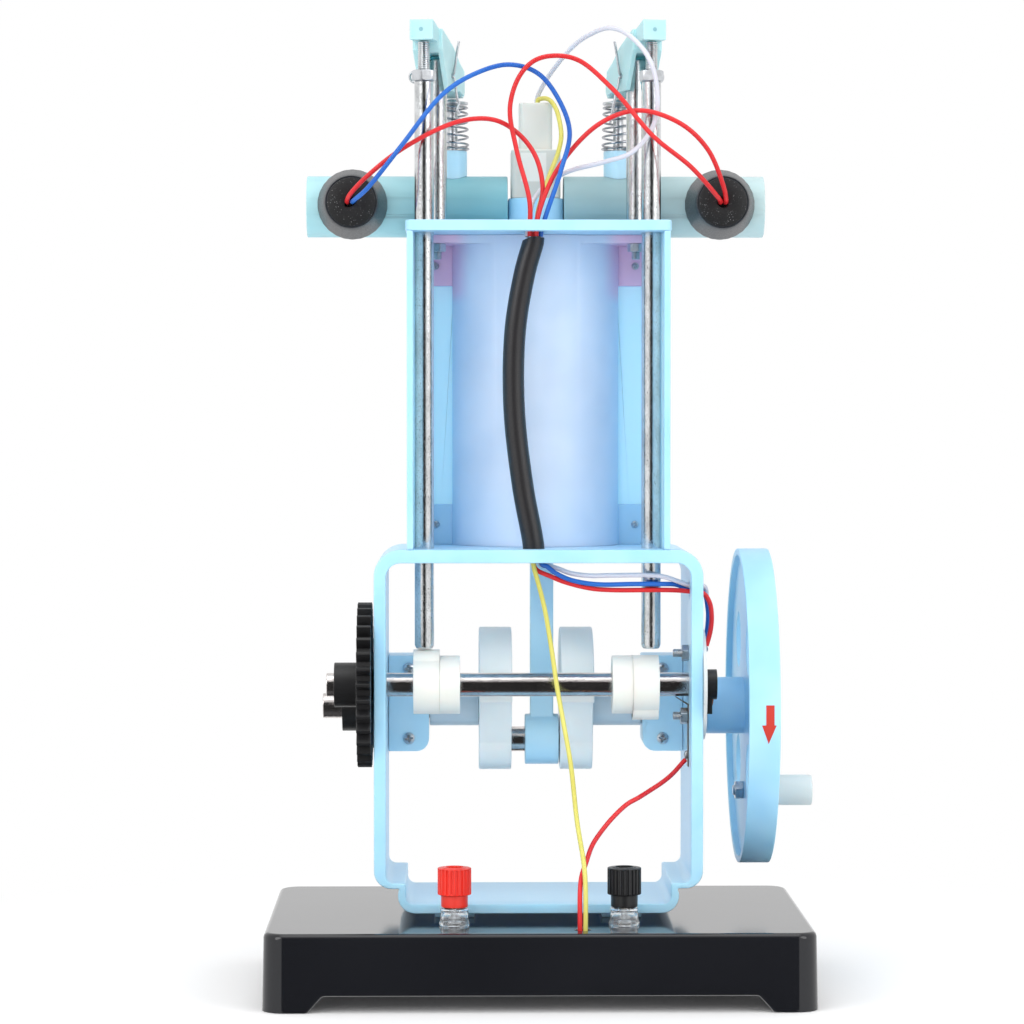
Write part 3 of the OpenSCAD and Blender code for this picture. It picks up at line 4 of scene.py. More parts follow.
import bmesh
import bpy
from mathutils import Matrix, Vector

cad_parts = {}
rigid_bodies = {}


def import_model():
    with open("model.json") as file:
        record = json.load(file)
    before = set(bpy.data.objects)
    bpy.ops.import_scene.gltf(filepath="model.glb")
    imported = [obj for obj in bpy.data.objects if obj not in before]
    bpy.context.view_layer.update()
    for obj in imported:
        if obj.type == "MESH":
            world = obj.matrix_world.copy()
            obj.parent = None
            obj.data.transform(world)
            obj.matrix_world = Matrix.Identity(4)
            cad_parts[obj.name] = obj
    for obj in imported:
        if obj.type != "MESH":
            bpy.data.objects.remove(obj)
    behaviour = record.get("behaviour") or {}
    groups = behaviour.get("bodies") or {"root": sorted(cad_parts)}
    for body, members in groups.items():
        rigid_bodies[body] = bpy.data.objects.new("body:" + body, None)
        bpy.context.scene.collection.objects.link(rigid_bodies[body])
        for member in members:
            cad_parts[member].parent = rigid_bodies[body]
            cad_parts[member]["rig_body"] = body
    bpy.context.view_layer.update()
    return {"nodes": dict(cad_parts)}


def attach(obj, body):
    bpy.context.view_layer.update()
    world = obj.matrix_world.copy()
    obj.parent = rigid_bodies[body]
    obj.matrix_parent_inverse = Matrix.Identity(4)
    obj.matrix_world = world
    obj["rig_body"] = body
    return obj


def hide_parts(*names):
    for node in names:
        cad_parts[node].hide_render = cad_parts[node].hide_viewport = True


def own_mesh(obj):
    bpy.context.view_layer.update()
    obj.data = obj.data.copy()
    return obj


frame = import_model()
scene = bpy.context.scene
nodes = frame["nodes"]
mm = 0.001
baseMiddle = Vector((-0.00365, -0.0115, 0))  # the middle of the base, seen from the origin


def at(x, y, z):
    return Vector((x, y, z)) * mm + baseMiddle


# Camera, light and floor
stage = {
    "cameraPlace": (-0.04105, -1.7093, 0.2664),
    "cameraPitch": 1.513,  # degrees down
    "cameraYaw": 0.87,  # degrees to the right
    "lens": 127.5,
    "sensor": 36,
    "farthest": 60,
    "lampsAim": (0, 0, 0.22),
    "floorSize": 14.0,
    "floorRear": -0.9,
    "floorDrop": 0.0002,
    "floorColour": (0.985, 0.985, 0.99, 1),
    "fillStrength": 0.8,
    "whiteFrom": 0.2,  # where the floor turns to plain white, from the model's middle
    "whiteTo": 0.42,
    "darkHalfWidth": 0.36,  # of the dark studio that shiny faces mirror, as a sine
    "darkTop": 0.62,
    "darkRear": -0.15,
    "darkEdges": (0.06, 0.08, 0.15),
    "darkLevel": 0.035,
}
lamps = {
    "keyLeft": {"place": (-1.5, -1.6, 1.3), "size": 1.3, "power": 12},
    "keyRight": {"place": (1.6, -1.5, 1.1), "size": 1.3, "power": 10},
    "top": {"place": (0.0, -0.3, 1.9), "size": 1.6, "power": 9},
    "front": {"place": (-0.25, -2.3, 0.45), "size": 1.5, "power": 13, "shine": False},
}
white = (1, 1, 1, 1)


def colour(r, g, b):
    def linear(v):
        v /= 255
        return v / 12.92 if v <= 0.04045 else ((v + 0.055) / 1.055) ** 2.4

    return (linear(r), linear(g), linear(b), 1)


def feed(tree, node, values):
    # links an input that gets another node's output, and sets any other
    for key, value in values.items():
        if isinstance(value, bpy.types.NodeSocket):
            tree.links.new(value, node.inputs[key])
        else:
            node.inputs[key].default_value = value


def newNode(tree, kind, values=None, **settings):
    node = tree.nodes.new(kind)
    for key, value in settings.items():
        setattr(node, key, value)
    feed(tree, node, values or {})
    return node


def combined(tree, operation, *sources):
    result = sources[0]
    for source in sources[1:]:
        result = newNode(tree, "ShaderNodeMath", {0: result, 1: source}, operation=operation).outputs[0]
    return result


def spread(tree, source, low, high, fromLow=0.3, fromHigh=0.7, kind="LINEAR"):
    return newNode(tree, "ShaderNodeMapRange", {
        "Value": source, "From Min": fromLow, "From Max": fromHigh, "To Min": low, "To Max": high},
        interpolation_type=kind).outputs[0]


def makeCamera():
    data = bpy.data.cameras.new("photoCamera")
    data.lens = stage["lens"]
    data.sensor_width = stage["sensor"]
    data.clip_end = stage["farthest"]
    camera = bpy.data.objects.new("photoCamera", data)
    camera.location = stage["cameraPlace"]
    camera.rotation_euler = (
        math.radians(90 - stage["cameraPitch"]), 0, math.radians(-stage["cameraYaw"]))
    scene.collection.objects.link(camera)
    scene.camera = camera


def makeLamps():
    for name, lamp in lamps.items():
        data = bpy.data.lights.new(name, "AREA")
        data.shape = "DISK"
        data.size = lamp["size"]
        data.energy = lamp["power"]
        light = bpy.data.objects.new(name, data)
        light.location = lamp["place"]
        light.visible_glossy = lamp.get("shine", True)
        towards = Vector(stage["lampsAim"]) - light.location
        light.rotation_euler = towards.to_track_quat("-Z", "Y").to_euler()
        scene.collection.objects.link(light)


def shinyRays(tree, rays):
    return combined(tree, "MAXIMUM", rays.outputs["Is Glossy Ray"], rays.outputs["Is Transmission Ray"])


def makeWorld():
    world = bpy.data.worlds.new("studio")
    scene.world = world
    world.use_nodes = True
    tree = world.node_tree
    tree.nodes.clear()
    place = newNode(tree, "ShaderNodeTexCoord")
    split = newNode(tree, "ShaderNodeSeparateXYZ", {0: place.outputs["Generated"]})
    side = newNode(tree, "ShaderNodeMath", {0: split.outputs["X"]}, operation="ABSOLUTE")
    card = combined(tree, "MULTIPLY", *[
        spread(tree, source, 0, 1, edge, edge - fade) for source, edge, fade in zip(
            (side.outputs[0], split.outputs["Z"], split.outputs["Y"]),
            (stage["darkHalfWidth"], stage["darkTop"], stage["darkRear"]), stage["darkEdges"])])
    seen = newNode(tree, "ShaderNodeMix", {
        "A": white, "B": (stage["darkLevel"],) * 3 + (1,), "Factor": card}, data_type="RGBA")
    rays = newNode(tree, "ShaderNodeLightPath")
    fill, mirrored, plain = [
        newNode(tree, "ShaderNodeBackground", {"Color": tone, "Strength": strength}).outputs[0]
        for tone, strength in [(white, stage["fillStrength"]), (seen.outputs["Result"], 1.0), (white, 1.0)]]
    mix = newNode(tree, "ShaderNodeMixShader", {0: shinyRays(tree, rays), 1: fill, 2: mirrored})
    last = newNode(tree, "ShaderNodeMixShader", {
        0: rays.outputs["Is Camera Ray"], 1: mix.outputs[0], 2: plain})
    newNode(tree, "ShaderNodeOutputWorld", {0: last.outputs[0]})


def makeFloor():
    half = stage["floorSize"] / 2
    rear = stage["floorRear"]
    mesh = bpy.data.meshes.new("floor")
    front = rear + 2 * half
    mesh.from_pydata([(-half, rear, 0), (half, rear, 0), (half, front, 0), (-half, front, 0)], [],
                     [(0, 1, 2, 3)])
    floor = bpy.data.objects.new("floor", mesh)
    floor.location = (0, 0, -stage["floorDrop"])
    floor.visible_glossy = False
    scene.collection.objects.link(floor)
    material = bpy.data.materials.new("floorPaper")
    material.use_nodes = True
    tree = material.node_tree
    shader = tree.nodes["Principled BSDF"]
    feed(tree, shader, {"Base Color": stage["floorColour"], "Roughness": 0.95, "Specular IOR Level": 0.1})
    where = newNode(tree, "ShaderNodeTexCoord")
    away = newNode(tree, "ShaderNodeVectorMath", {0: where.outputs["Object"]}, operation="LENGTH")
    far = spread(tree, away.outputs["Value"], 0, 1, stage["whiteFrom"], stage["whiteTo"], "SMOOTHSTEP")
    rays = newNode(tree, "ShaderNodeLightPath")
    seen = combined(tree, "MAXIMUM", rays.outputs["Is Camera Ray"], shinyRays(tree, rays))
    plain = newNode(tree, "ShaderNodeEmission", {"Color": white, "Strength": 1.0})
    mix = newNode(tree, "ShaderNodeMixShader", {
        0: combined(tree, "MULTIPLY", far, seen), 1: shader.outputs[0], 2: plain.outputs[0]})
    feed(tree, tree.nodes["Material Output"], {0: mix.outputs[0]})
    mesh.materials.append(material)


makeCamera()
makeLamps()
makeWorld()
makeFloor()
scene.view_settings.view_transform = "Standard"
print("stage is set")


# Materials
def startMaterial(name):
    material = bpy.data.materials.new(name)
    material.use_nodes = True
    return material, material.node_tree, material.node_tree.nodes["Principled BSDF"]


def cloud(tree, scale, detail=3.0, roughness=0.55, stretch=None):
    vector = newNode(tree, "ShaderNodeTexCoord").outputs["Object"]
    if stretch:
        vector = newNode(tree, "ShaderNodeMapping", {"Vector": vector, "Scale": stretch}).outputs[0]
    return newNode(tree, "ShaderNodeTexNoise", {
        "Vector": vector, "Scale": scale, "Detail": detail, "Roughness": roughness}).outputs["Fac"]


def ramped(tree, source, stops):
    ramp = newNode(tree, "ShaderNodeValToRGB", {0: source})
    elements = ramp.color_ramp.elements
    while len(elements) > 1:
        elements.remove(elements[-1])
    elements[0].position, elements[0].color = stops[0]
    for place, value in stops[1:]:
        elements.new(place).color = value
    return ramp.outputs[0]


def bumped(tree, source, strength, distance=0.0002):
    return newNode(tree, "ShaderNodeBump", {
        "Strength": strength, "Distance": distance, "Height": source}).outputs[0]


def along(tree, axis, low, high):
    # how far a point lies between two places on one of the model's axes, in mm from the base's middle
    shift = baseMiddle["XYZ".index(axis)]
    place = newNode(tree, "ShaderNodeTexCoord")
    split = newNode(tree, "ShaderNodeSeparateXYZ", {0: place.outputs["Object"]})
    return spread(tree, split.outputs[axis], 0, 1, low * mm + shift, high * mm + shift, "SMOOTHSTEP")


def tinted(material, factor, tone):
    # lays a second colour over the base colour where the factor is 1
    tree = material.node_tree
    shader = tree.nodes["Principled BSDF"]
    under = shader.inputs["Base Color"].links[0].from_socket
    mix = newNode(tree, "ShaderNodeMix", {"B": colour(*tone), "Factor": factor, "A": under}, data_type="RGBA")
    feed(tree, shader, {"Base Color": mix.outputs["Result"]})
    return material


def mouldedPlastic(name, dark, pale, roughness=0.36, subsurface=0.25, depth=0.006, grain=700, specular=0.5):
    material, tree, shader = startMaterial(name)
    fine = cloud(tree, grain, 4.0, 0.6)
    feed(tree, shader, {
        "Base Color": ramped(tree, cloud(tree, 28, 2.0), [(0.36, colour(*dark)), (0.64, colour(*pale))]),
        "Roughness": spread(tree, fine, roughness - 0.05, roughness + 0.07),
        "Normal": bumped(tree, fine, 0.06),
        "Subsurface Weight": subsurface,
        "Subsurface Radius": (0.6, 0.9, 1.0),
        "Subsurface Scale": depth,
        "Specular IOR Level": specular,
        "IOR": 1.49,
    })
    return material


def pipePlastic(name, outer, inner, low, high):
    material = mouldedPlastic(name, outer, [v + 8 for v in outer], subsurface=0.3, roughness=0.44)
    return tinted(material, along(material.node_tree, "X", low, high), inner)


def cylinderPlastic():
    # bluish white, sky blue at the lugs and pinkish at the top, as in the photograph
    material = mouldedPlastic("cylinderPlastic", (197, 216, 242), (207, 224, 249), roughness=0.42)
    tree = material.node_tree
    for side in (-1, 1):
        tinted(material, along(tree, "X", side * 38, side * 41), (178, 220, 246))
        pink = combined(tree, "MULTIPLY", along(tree, "X", side * 30, side * 40), along(tree, "Z", 318, 326))
        tinted(material, pink, (226, 196, 226))
    return material


def insidePlastic(name, paintedLightTone, paintedGlow):
    # painted light: paler away from the front face, with a painted glow (emission), standing in for light
    # that comes through the wall
    material = mouldedPlastic(name, (160, 213, 245), (174, 222, 251), subsurface=0.4)
    tree = material.node_tree
    # 0 at the front face and 1 deeper inside, where the painted light and painted glow go
    inner = along(tree, "Y", -39, -24)
    feed(tree, tree.nodes["Principled BSDF"], {
        "Emission Strength": combined(tree, "MULTIPLY", inner, paintedGlow),
        "Emission Color": colour(170, 222, 248)})
    return tinted(material, inner, paintedLightTone)


def rockerPlastic():
    material = mouldedPlastic("rockerPlastic", (172, 216, 221), (188, 226, 229), 0.4, 0.4)
    return tinted(material, along(material.node_tree, "Z", 448.7, 449.3), (224, 238, 196))


def milkyPlastic():
    # the spark lamp shows as a paler rectangle in its holder
    material = mouldedPlastic("milkyNylon", (212, 214, 209), (222, 224, 219), roughness=0.42, subsurface=0.5)
    tree = material.node_tree
    lamp = combined(tree, "MULTIPLY", along(tree, "X", -7.4, -6.8), along(tree, "X", 5.2, 4.6),
                    along(tree, "Z", 377, 378), along(tree, "Z", 391.4, 390.6))
    tinted(material, along(tree, "Z", 392.4, 391.8), (204, 207, 202))
    return tinted(material, lamp, (228, 229, 225))


def platedSteel(name, tone=(205, 208, 212), roughness=0.11, mottle=0.35, stretch=None, relief=0.00004):
    material, tree, shader = startMaterial(name)
    fine = cloud(tree, 1500, 5.0, 0.7, stretch)
    dark = [v * 0.86 for v in tone]
    feed(tree, shader, {
        "Base Color": ramped(tree, cloud(tree, 160, 3.0, 0.6, stretch),
                             [(0.3, colour(*dark)), (0.62, colour(*tone))]),
        "Roughness": spread(tree, fine, roughness * 0.7, roughness * 1.6),
        "Normal": bumped(tree, fine, mottle, relief),
        "Metallic": 1.0,
    })
    return material


def mottledChrome(name, tone, stretch):
    # bright plating with small dark specks painted into its colour, as painted reflection of the dark
    # surroundings
    material = platedSteel(name, tone, 0.05, 0.9, stretch, 0.0001)
    tree = material.node_tree
    paintedReflectionSpecks = spread(tree, cloud(tree, 2600, 5.0, 0.75, stretch), 0.0, 0.8, 0.57, 0.63)
    return tinted(material, paintedReflectionSpecks, (70, 74, 78))


def rubber(name, dark, pale, roughness=0.62, speckle=0.5):
    material, tree, shader = startMaterial(name)
    fine = cloud(tree, 1300, 5.0, 0.75)
    feed(tree, shader, {
        "Base Color": ramped(tree, fine, [(0.35, colour(*dark)), (0.75, colour(*pale))]),
        "Roughness": spread(tree, fine, roughness + 0.08, roughness - 0.1),
        "Normal": bumped(tree, fine, speckle, 0.0001),
    })
    return material


def speckledRubber():
    material = rubber("capFaceRubber", (14, 14, 16), (28, 28, 30), 0.5, 0.7)
    tree = material.node_tree
    place = newNode(tree, "ShaderNodeTexCoord")
    grains = newNode(tree, "ShaderNodeTexVoronoi", {
        "Vector": place.outputs["Object"], "Scale": 1100.0, "Randomness": 1.0})
    dots = spread(tree, grains.outputs["Distance"], 0, 1, 0.24, 0.12)
    patches = spread(tree, cloud(tree, 230, 2.0), 0.0, 0.8, 0.44, 0.6)
    return tinted(material, combined(tree, "MULTIPLY", dots, patches), (150, 150, 152))


def glossBlack():
    material, tree, shader = startMaterial("glossBlackTray")
    dust = cloud(tree, 420, 8.0, 0.85)
    body = ramped(tree, cloud(tree, 9, 2.0), [(0.3, colour(22, 23, 27)), (0.7, colour(27, 28, 32))])
    specks = ramped(tree, dust, [(0.735, (0, 0, 0, 1)), (0.77, white)])
    feed(tree, shader, {
        "Base Color": body,
        "Roughness": spread(tree, dust, 0.06, 0.13),
        "Normal": bumped(tree, cloud(tree, 26, 3.0, 0.5), 0.1, 0.0005),
        "Specular IOR Level": 0.5,
    })
    return tinted(material, combined(tree, "MULTIPLY", specks, 0.55), (120, 122, 128))


def seeThrough(name, scale, detail, tones, roughness, amount, bend):
    material, tree, shader = startMaterial(name)
    fine = cloud(tree, scale, detail)
    feed(tree, shader, {
        "Base Color": ramped(tree, fine, [(0.3, tones[0]), (0.7, tones[1])]),
        "Roughness": spread(tree, fine, *roughness),
        "Transmission Weight": amount,
        "IOR": bend,
    })
    return material


def clearPlastic():
    material = seeThrough("clearPlastic", 300, 3.0, [(0.9, 0.93, 0.95, 1), (0.98, 0.99, 1, 1)], (0.02, 0.09),
                          0.92, 1.49)
    tree = material.node_tree
    feed(tree, tree.nodes["Principled BSDF"], {"Normal": bumped(tree, cloud(tree, 240, 2.0), 0.3, 0.0004)})
    return material


# Name, darker and paler tone, then roughness, subsurface share and depth, grain and specular
moulded = {
    "sky": ("skyPlastic", (160, 213, 245), (174, 222, 251)),
    "spacer": ("spacerPlastic", (196, 212, 222), (206, 220, 228)),
    "skyPale": ("palerSkyPlastic", (176, 222, 247), (188, 229, 252)),
    "rockerMark": ("rockerMark", (128, 186, 200), (142, 196, 208)),
    "nylon": ("whiteNylon", (206, 216, 216), (216, 224, 223), 0.42, 0.4),
    "webNylon": ("webNylon", (230, 238, 238), (238, 244, 243), 0.42, 0.4),
    "camNylon": ("creamNylon", (222, 225, 220), (230, 232, 226), 0.4, 0.4),
    "discFace": ("discFace", (196, 202, 204), (216, 222, 224), 0.3, 0.1),
    "piston": ("pistonPlastic", (205, 210, 216), (226, 230, 236), 0.34, 0.1),
    "gearBlack": ("blackNylon", (20, 20, 21), (31, 31, 33), 0.4, 0, 0.006, 1200, 0.45),
    "knobBlack": ("blackKnobPlastic", (26, 27, 29), (36, 37, 39), 0.36, 0),
    "knobRed": ("redKnobPlastic", (222, 44, 34), (238, 58, 44), 0.34, 0.12, 0.002),
    "wireBlue": ("blueInsulation", (24, 92, 184), (36, 108, 198), 0.38, 0.1, 0.001, 1500),
    "wireRed": ("redInsulation", (206, 28, 34), (220, 42, 46), 0.36, 0.1, 0.001, 1500),
    "wireYellow": ("yellowInsulation", (206, 198, 92), (218, 211, 112), 0.38, 0.2, 0.001, 1500),
    "wireWhite": ("whiteInsulation", (204, 205, 216), (214, 215, 226), 0.36, 0.3, 0.001, 1500),
    "arrow": ("arrowPaint", (184, 40, 28), (198, 50, 34), 0.5, 0, 0.001, 900),
}
# Name, tone, roughness and how mottled
plated = {
    "chrome": ("platedSteel",),
    "screwSteel": ("screwSteel", (214, 217, 221), 0.3, 0.4),
    "copper": ("copperStrip", (196, 120, 88), 0.3, 0.3),
    "spring": ("springWire", (176, 178, 184), 0.2, 0.2),
    "iron": ("ringIron", (96, 100, 108), 0.36, 0.3),
    "brass": ("brass", (206, 166, 92), 0.24, 0.2),
    "tin": ("tinnedStrip", (150, 138, 128), 0.32, 0.3),
    "solder": ("solder", (186, 188, 192), 0.28, 0.5),
}
finishes = {
    # the last two values are the painted-light tone and the painted glow's strength
    "skyInside": insidePlastic("skyInsidePlastic", (206, 238, 254), 0.16),
    "skyCase": insidePlastic("skyCasePlastic", (184, 222, 247), 0.02),
    "cylinder": cylinderPlastic(),
    "teal": pipePlastic("tealPlastic", (168, 212, 220), (122, 180, 192), -96, -26),
    "tealGrey": pipePlastic("greyTealPlastic", (184, 208, 211), (152, 184, 190), 100, 30),
    "rocker": rockerPlastic(),
    "milky": milkyPlastic(),
    "rubber": rubber("capRubber", (40, 42, 46), (66, 69, 74), 0.38, 0.3),
    "rubberFace": speckledRubber(),
    "sleeve": rubber("sleevePlastic", (28, 27, 29), (44, 42, 44), 0.36, 0.25),
    "tray": glossBlack(),
    "rodChrome": mottledChrome("platedRods", (226, 228, 230), (0.9, 0.9, 0.45)),
    "shaftChrome": mottledChrome("platedShafts", (224, 218, 216), (0.45, 0.9, 0.9)),
    "clear": clearPlastic(),
    "glass": seeThrough("lampGlass", 200, 2.0, [(0.93, 0.95, 0.96, 1), white], (0.01, 0.04), 1.0, 1.2),
}
finishes.update({key: mouldedPlastic(*given) for key, given in moulded.items()})
finishes.update({key: platedSteel(*given) for key, given in plated.items()})
print("materials:", len(finishes))


# Mesh helpers
def place(name, verts, faces, finish, body, replaced=(), slot=None, sharp=35):
    mesh = bpy.data.meshes.new(name)
    mesh.from_pydata([tuple(v) for v in verts], [], faces)
    return placeMesh(name, mesh, finish, body, replaced, sharp)


def placeMesh(name, mesh, finish, body, replaced=(), sharp=35):
    if sharp:
        work = bmesh.new()
        work.from_mesh(mesh)
        bmesh.ops.recalc_face_normals(work, faces=work.faces)
        work.to_mesh(mesh)
        work.free()
        mesh.shade_smooth()
        mesh.set_sharp_from_angle(angle=math.radians(sharp))
    mesh.materials.clear()
    for key in [finish] if isinstance(finish, str) else finish:
        mesh.materials.append(finishes[key])
    piece = bpy.data.objects.new(name, mesh)
    scene.collection.objects.link(piece)
    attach(piece, body)
    if replaced:
        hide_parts(*replaced)
    return piece


def bodyOf(node):
    return nodes[node]["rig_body"]


def joined(parts):
    verts, faces = [], []
    for v, f in parts:
        start = len(verts)
        verts += list(v)
        faces += [tuple(i + start for i in face) for face in f]
    return verts, faces


def piece(name, parts, finish, node, slot=None, sharp=35):
    return place(name, *joined(parts), finish, bodyOf(node), [node], slot, sharp)


def steelPiece(name, parts, node, sharp=28, finish="screwSteel"):
    return piece(name, parts, finish, node, "plated_steel", sharp)


def circle(radius, count):
    turns = [2 * math.pi * k / count for k in range(count)]
    return [(radius * math.cos(a), radius * math.sin(a)) for a in turns]


def between(a, b, low, high, t):
    return a * (high - t) / (high - low) + b * (t - low) / (high - low)


def smoothRoute(points, count, fineSteps=24):
    # a centripetal curve through the points, then cut into equal steps
    ends = [points[0] * 2 - points[1]] + points + [points[-1] * 2 - points[-2]]
    fine = []
    for i in range(1, len(ends) - 2):
        a, b, c, d = ends[i - 1:i + 3]
        ta, tb = 0.0, max((b - a).length, 1e-6) ** 0.5
        tc = tb + max((c - b).length, 1e-6) ** 0.5
        td = tc + max((d - c).length, 1e-6) ** 0.5
        for k in range(fineSteps):
            t = tb + (tc - tb) * k / fineSteps
            ab, bc, cd = between(a, b, ta, tb, t), between(b, c, tb, tc, t), between(c, d, tc, td, t)
            abc, bcd = between(ab, bc, ta, tc, t), between(bc, cd, tb, td, t)
            fine.append(between(abc, bcd, tb, tc, t))
    fine.append(points[-1].copy())
    lengths = [0.0]
    for i in range(1, len(fine)):
        lengths.append(lengths[-1] + (fine[i] - fine[i - 1]).length)
    route = []
    k = 0
    for i in range(count):
        want = lengths[-1] * i / (count - 1)
        while k < len(fine) - 2 and lengths[k + 1] < want:
            k += 1
        share = (want - lengths[k]) / max(lengths[k + 1] - lengths[k], 1e-9)
        route.append(fine[k].lerp(fine[k + 1], min(max(share, 0), 1)))
    return route


def lengthOf(route):
    return sum((b - a).length for a, b in zip(route, route[1:]))


def band(low, high, sides):
    # faces between two rings of points, given by the numbers of their first points
    return [(low + k, low + (k + 1) % sides, high + (k + 1) % sides, high + k) for k in range(sides)]


def sweep(route, radius, sides=14, closed=False, tips=True):
    # radius is one number, or a function of the share of the way along
    count = len(route)
    tangents = []
    for i in range(count):
        if closed:
            tangents.append((route[(i + 1) % count] - route[i - 1]).normalized())
        else:
            tangents.append((route[min(i + 1, count - 1)] - route[max(i - 1, 0)]).normalized())
    normal = tangents[0].orthogonal().normalized()
    verts, faces = [], []
    for i in range(count):
        normal = (normal - tangents[i] * normal.dot(tangents[i])).normalized()
        other = tangents[i].cross(normal)
        r = radius(i / (count - 1)) if callable(radius) else radius
        for k in range(sides):
            a = 2 * math.pi * k / sides
            verts.append(route[i] + (normal * math.cos(a) + other * math.sin(a)) * r)
    for i in range(count if closed else count - 1):
        faces += band(i * sides, (i + 1) % count * sides, sides)
    if tips and not closed:
        faces.append(tuple(range(sides - 1, -1, -1)))
        faces.append(tuple((count - 1) * sides + k for k in range(sides)))
    return verts, faces


up, right, back = (0, 0, 1), (1, 0, 0), (0, 1, 0)


def turned(profile, axis, centre, sides=64, radiusAt=None):
    # profile: (radius, distance along the axis) pairs in mm; radius 0 closes the end
    axis = Vector(axis).normalized()
    first = Vector((0, 1, 0)) if abs(axis.x) > 0.9 else Vector((1, 0, 0))
    second = axis.cross(first).normalized()
    first = second.cross(axis).normalized()
    verts, faces, rows = [], [], []
    for r, h in profile:
        if r <= 0:
            rows.append([len(verts)])
            verts.append(centre + axis * h * mm)
            continue
        row = []
        for k in range(sides):
            a = 2 * math.pi * k / sides
            here = radiusAt(r, h, a) if radiusAt else r
            row.append(len(verts))
            verts.append(centre + axis * h * mm + (first * math.cos(a) + second * math.sin(a)) * here * mm)
        rows.append(row)
    for low, high in zip(rows, rows[1:]):
        if len(low) == 1:
            faces += [(low[0], high[(k + 1) % sides], high[k]) for k in range(sides)]
        elif len(high) == 1:
            faces += [(low[k], low[(k + 1) % sides], high[0]) for k in range(sides)]
        else:
            faces += band(low[0], high[0], sides)
    return verts, faces


def ringed(profile, axis, centre, sides=64, radiusAt=None):
    # as turned(), for a closed profile such as a tube's wall
    verts, faces = turned(profile, axis, centre, sides, radiusAt)
    return verts, faces + band((len(profile) - 1) * sides, 0, sides)


def threaded(radius, depth, pitch, low, high, axis, centre, sides=40, chamfer=0.6):
    steps = max(8, int((high - low) / pitch * 8))

    def threadAt(r, h, a):
        turn = ((h - low) / pitch - a / (2 * math.pi)) % 1
        cut = depth * abs(2 * turn - 1)
        end = max(0, chamfer - (high - h), chamfer - (h - low))
        return max(radius - cut - end * 0.8, radius - depth - chamfer)

    profile = [(0, low)] + [(radius, low + (high - low) * i / steps) for i in range(steps + 1)] + [(0, high)]
    return turned(profile, axis, centre, sides, threadAt)


def hexNut(across, low, high, bore, axis, centre, turn=0.0):
    edge = across / 2 / math.cos(math.pi / 6)
    chamfer = (edge - across / 2) * 0.8

    def sideAt(r, h, a):
        if r < bore + 0.01:
            return r
        b = (a + turn) % (math.pi / 3) - math.pi / 6
        hexagon = across / 2 / math.cos(b)
        near = min(h - low, high - h)
        cone = across / 2 - 0.1 + max(0.0, near) * 1.9
        return min(hexagon, cone)

    rows = [(edge, low), (edge, low + 0.12), (edge, low + 0.3), (edge, low + chamfer * 1.2),
            (edge, high - chamfer * 1.2), (edge, high - 0.3), (edge, high - 0.12), (edge, high)]
    profile = [(bore, low)] + rows + [(bore, high)]
    return ringed(profile, axis, centre, 72, sideAt)


def applied(source):
    depsgraph = bpy.context.evaluated_depsgraph_get()
    mesh = bpy.data.meshes.new_from_object(source.evaluated_get(depsgraph))
    source.modifiers.clear()
    return mesh


# Rounded edges: angles in degrees, the weld in metres
rounding = {"weld": 4e-6, "flat": 0.6, "segments": 2, "corner": 32, "fineEdge": 0.3, "weight": 80}


def dressed(node, finish, edge):
    # a copy of the CAD piece with its faces joined and its edges rounded
    source = nodes[node]
    work = bmesh.new()
    work.from_mesh(source.data)
    bmesh.ops.remove_doubles(work, verts=work.verts, dist=rounding["weld"])
    flat = math.radians(rounding["flat"])
    bmesh.ops.dissolve_limit(work, angle_limit=flat, verts=work.verts, edges=work.edges)
    bmesh.ops.recalc_face_normals(work, faces=work.faces)
    mesh = bpy.data.meshes.new(node + "Dressed")
    work.to_mesh(mesh)
    work.free()
    mesh.shade_smooth()
    copy = bpy.data.objects.new(node + "Dressed", mesh)
    scene.collection.objects.link(copy)
    corner = math.radians(rounding["corner"])
    bevel = copy.modifiers.new("edges", "BEVEL")
    bevel.width = edge * mm
    bevel.segments = rounding["segments"]
    bevel.limit_method = "ANGLE"
    bevel.angle_limit = corner
    bevel.use_clamp_overlap = edge < rounding["fineEdge"]
    bevel.miter_outer = "MITER_ARC"
    rounded = applied(copy)
    rounded.set_sharp_from_angle(angle=corner)
    copy.data = rounded
    weighted = copy.modifiers.new("normals", "WEIGHTED_NORMAL")
    weighted.keep_sharp = True
    weighted.weight = rounding["weight"]
    final = applied(copy)
    bpy.data.objects.remove(copy)
    final.name = node + "Dressed"
    return placeMesh(node + "Dressed", final, finish, bodyOf(node), [node], sharp=None)


print("helpers ready")

# Wires and sleeve: the routes of part.scad, in mm from the middle of the base
levels = {
    "plate": 351.2,
    "hole": 186.0,
    "sleeveTop": 349.0,
    "sleeveLow": 199.5,
    "lampY": -8.6,
    "holderTop": 415.1,
    "lead": 1.4,
    "gap": 0.1,
    "camshaftY": -19.2,
    "camshaftZ": 142.026,
    "caseX": 75.5,
    "faceX": 78.32,
    "baseHole": (19.2, -71),
    "holeFloor": 30.0,
}
wireSize = {"diameter": 2.2, "sides": 14, "points": 50}


def above(level, points):
    return [(x, y, z + levels[level]) for x, y, z in points]


def intoSleeve(x, y):
    top = levels["sleeveTop"]
    return [(x, y, top + levels["lead"]), (x, y, top + levels["gap"])]


def outOfSleeve(x, y):
    low = levels["sleeveLow"]
    return [(x, y, low - levels["gap"]), (x, y, low - levels["lead"])]


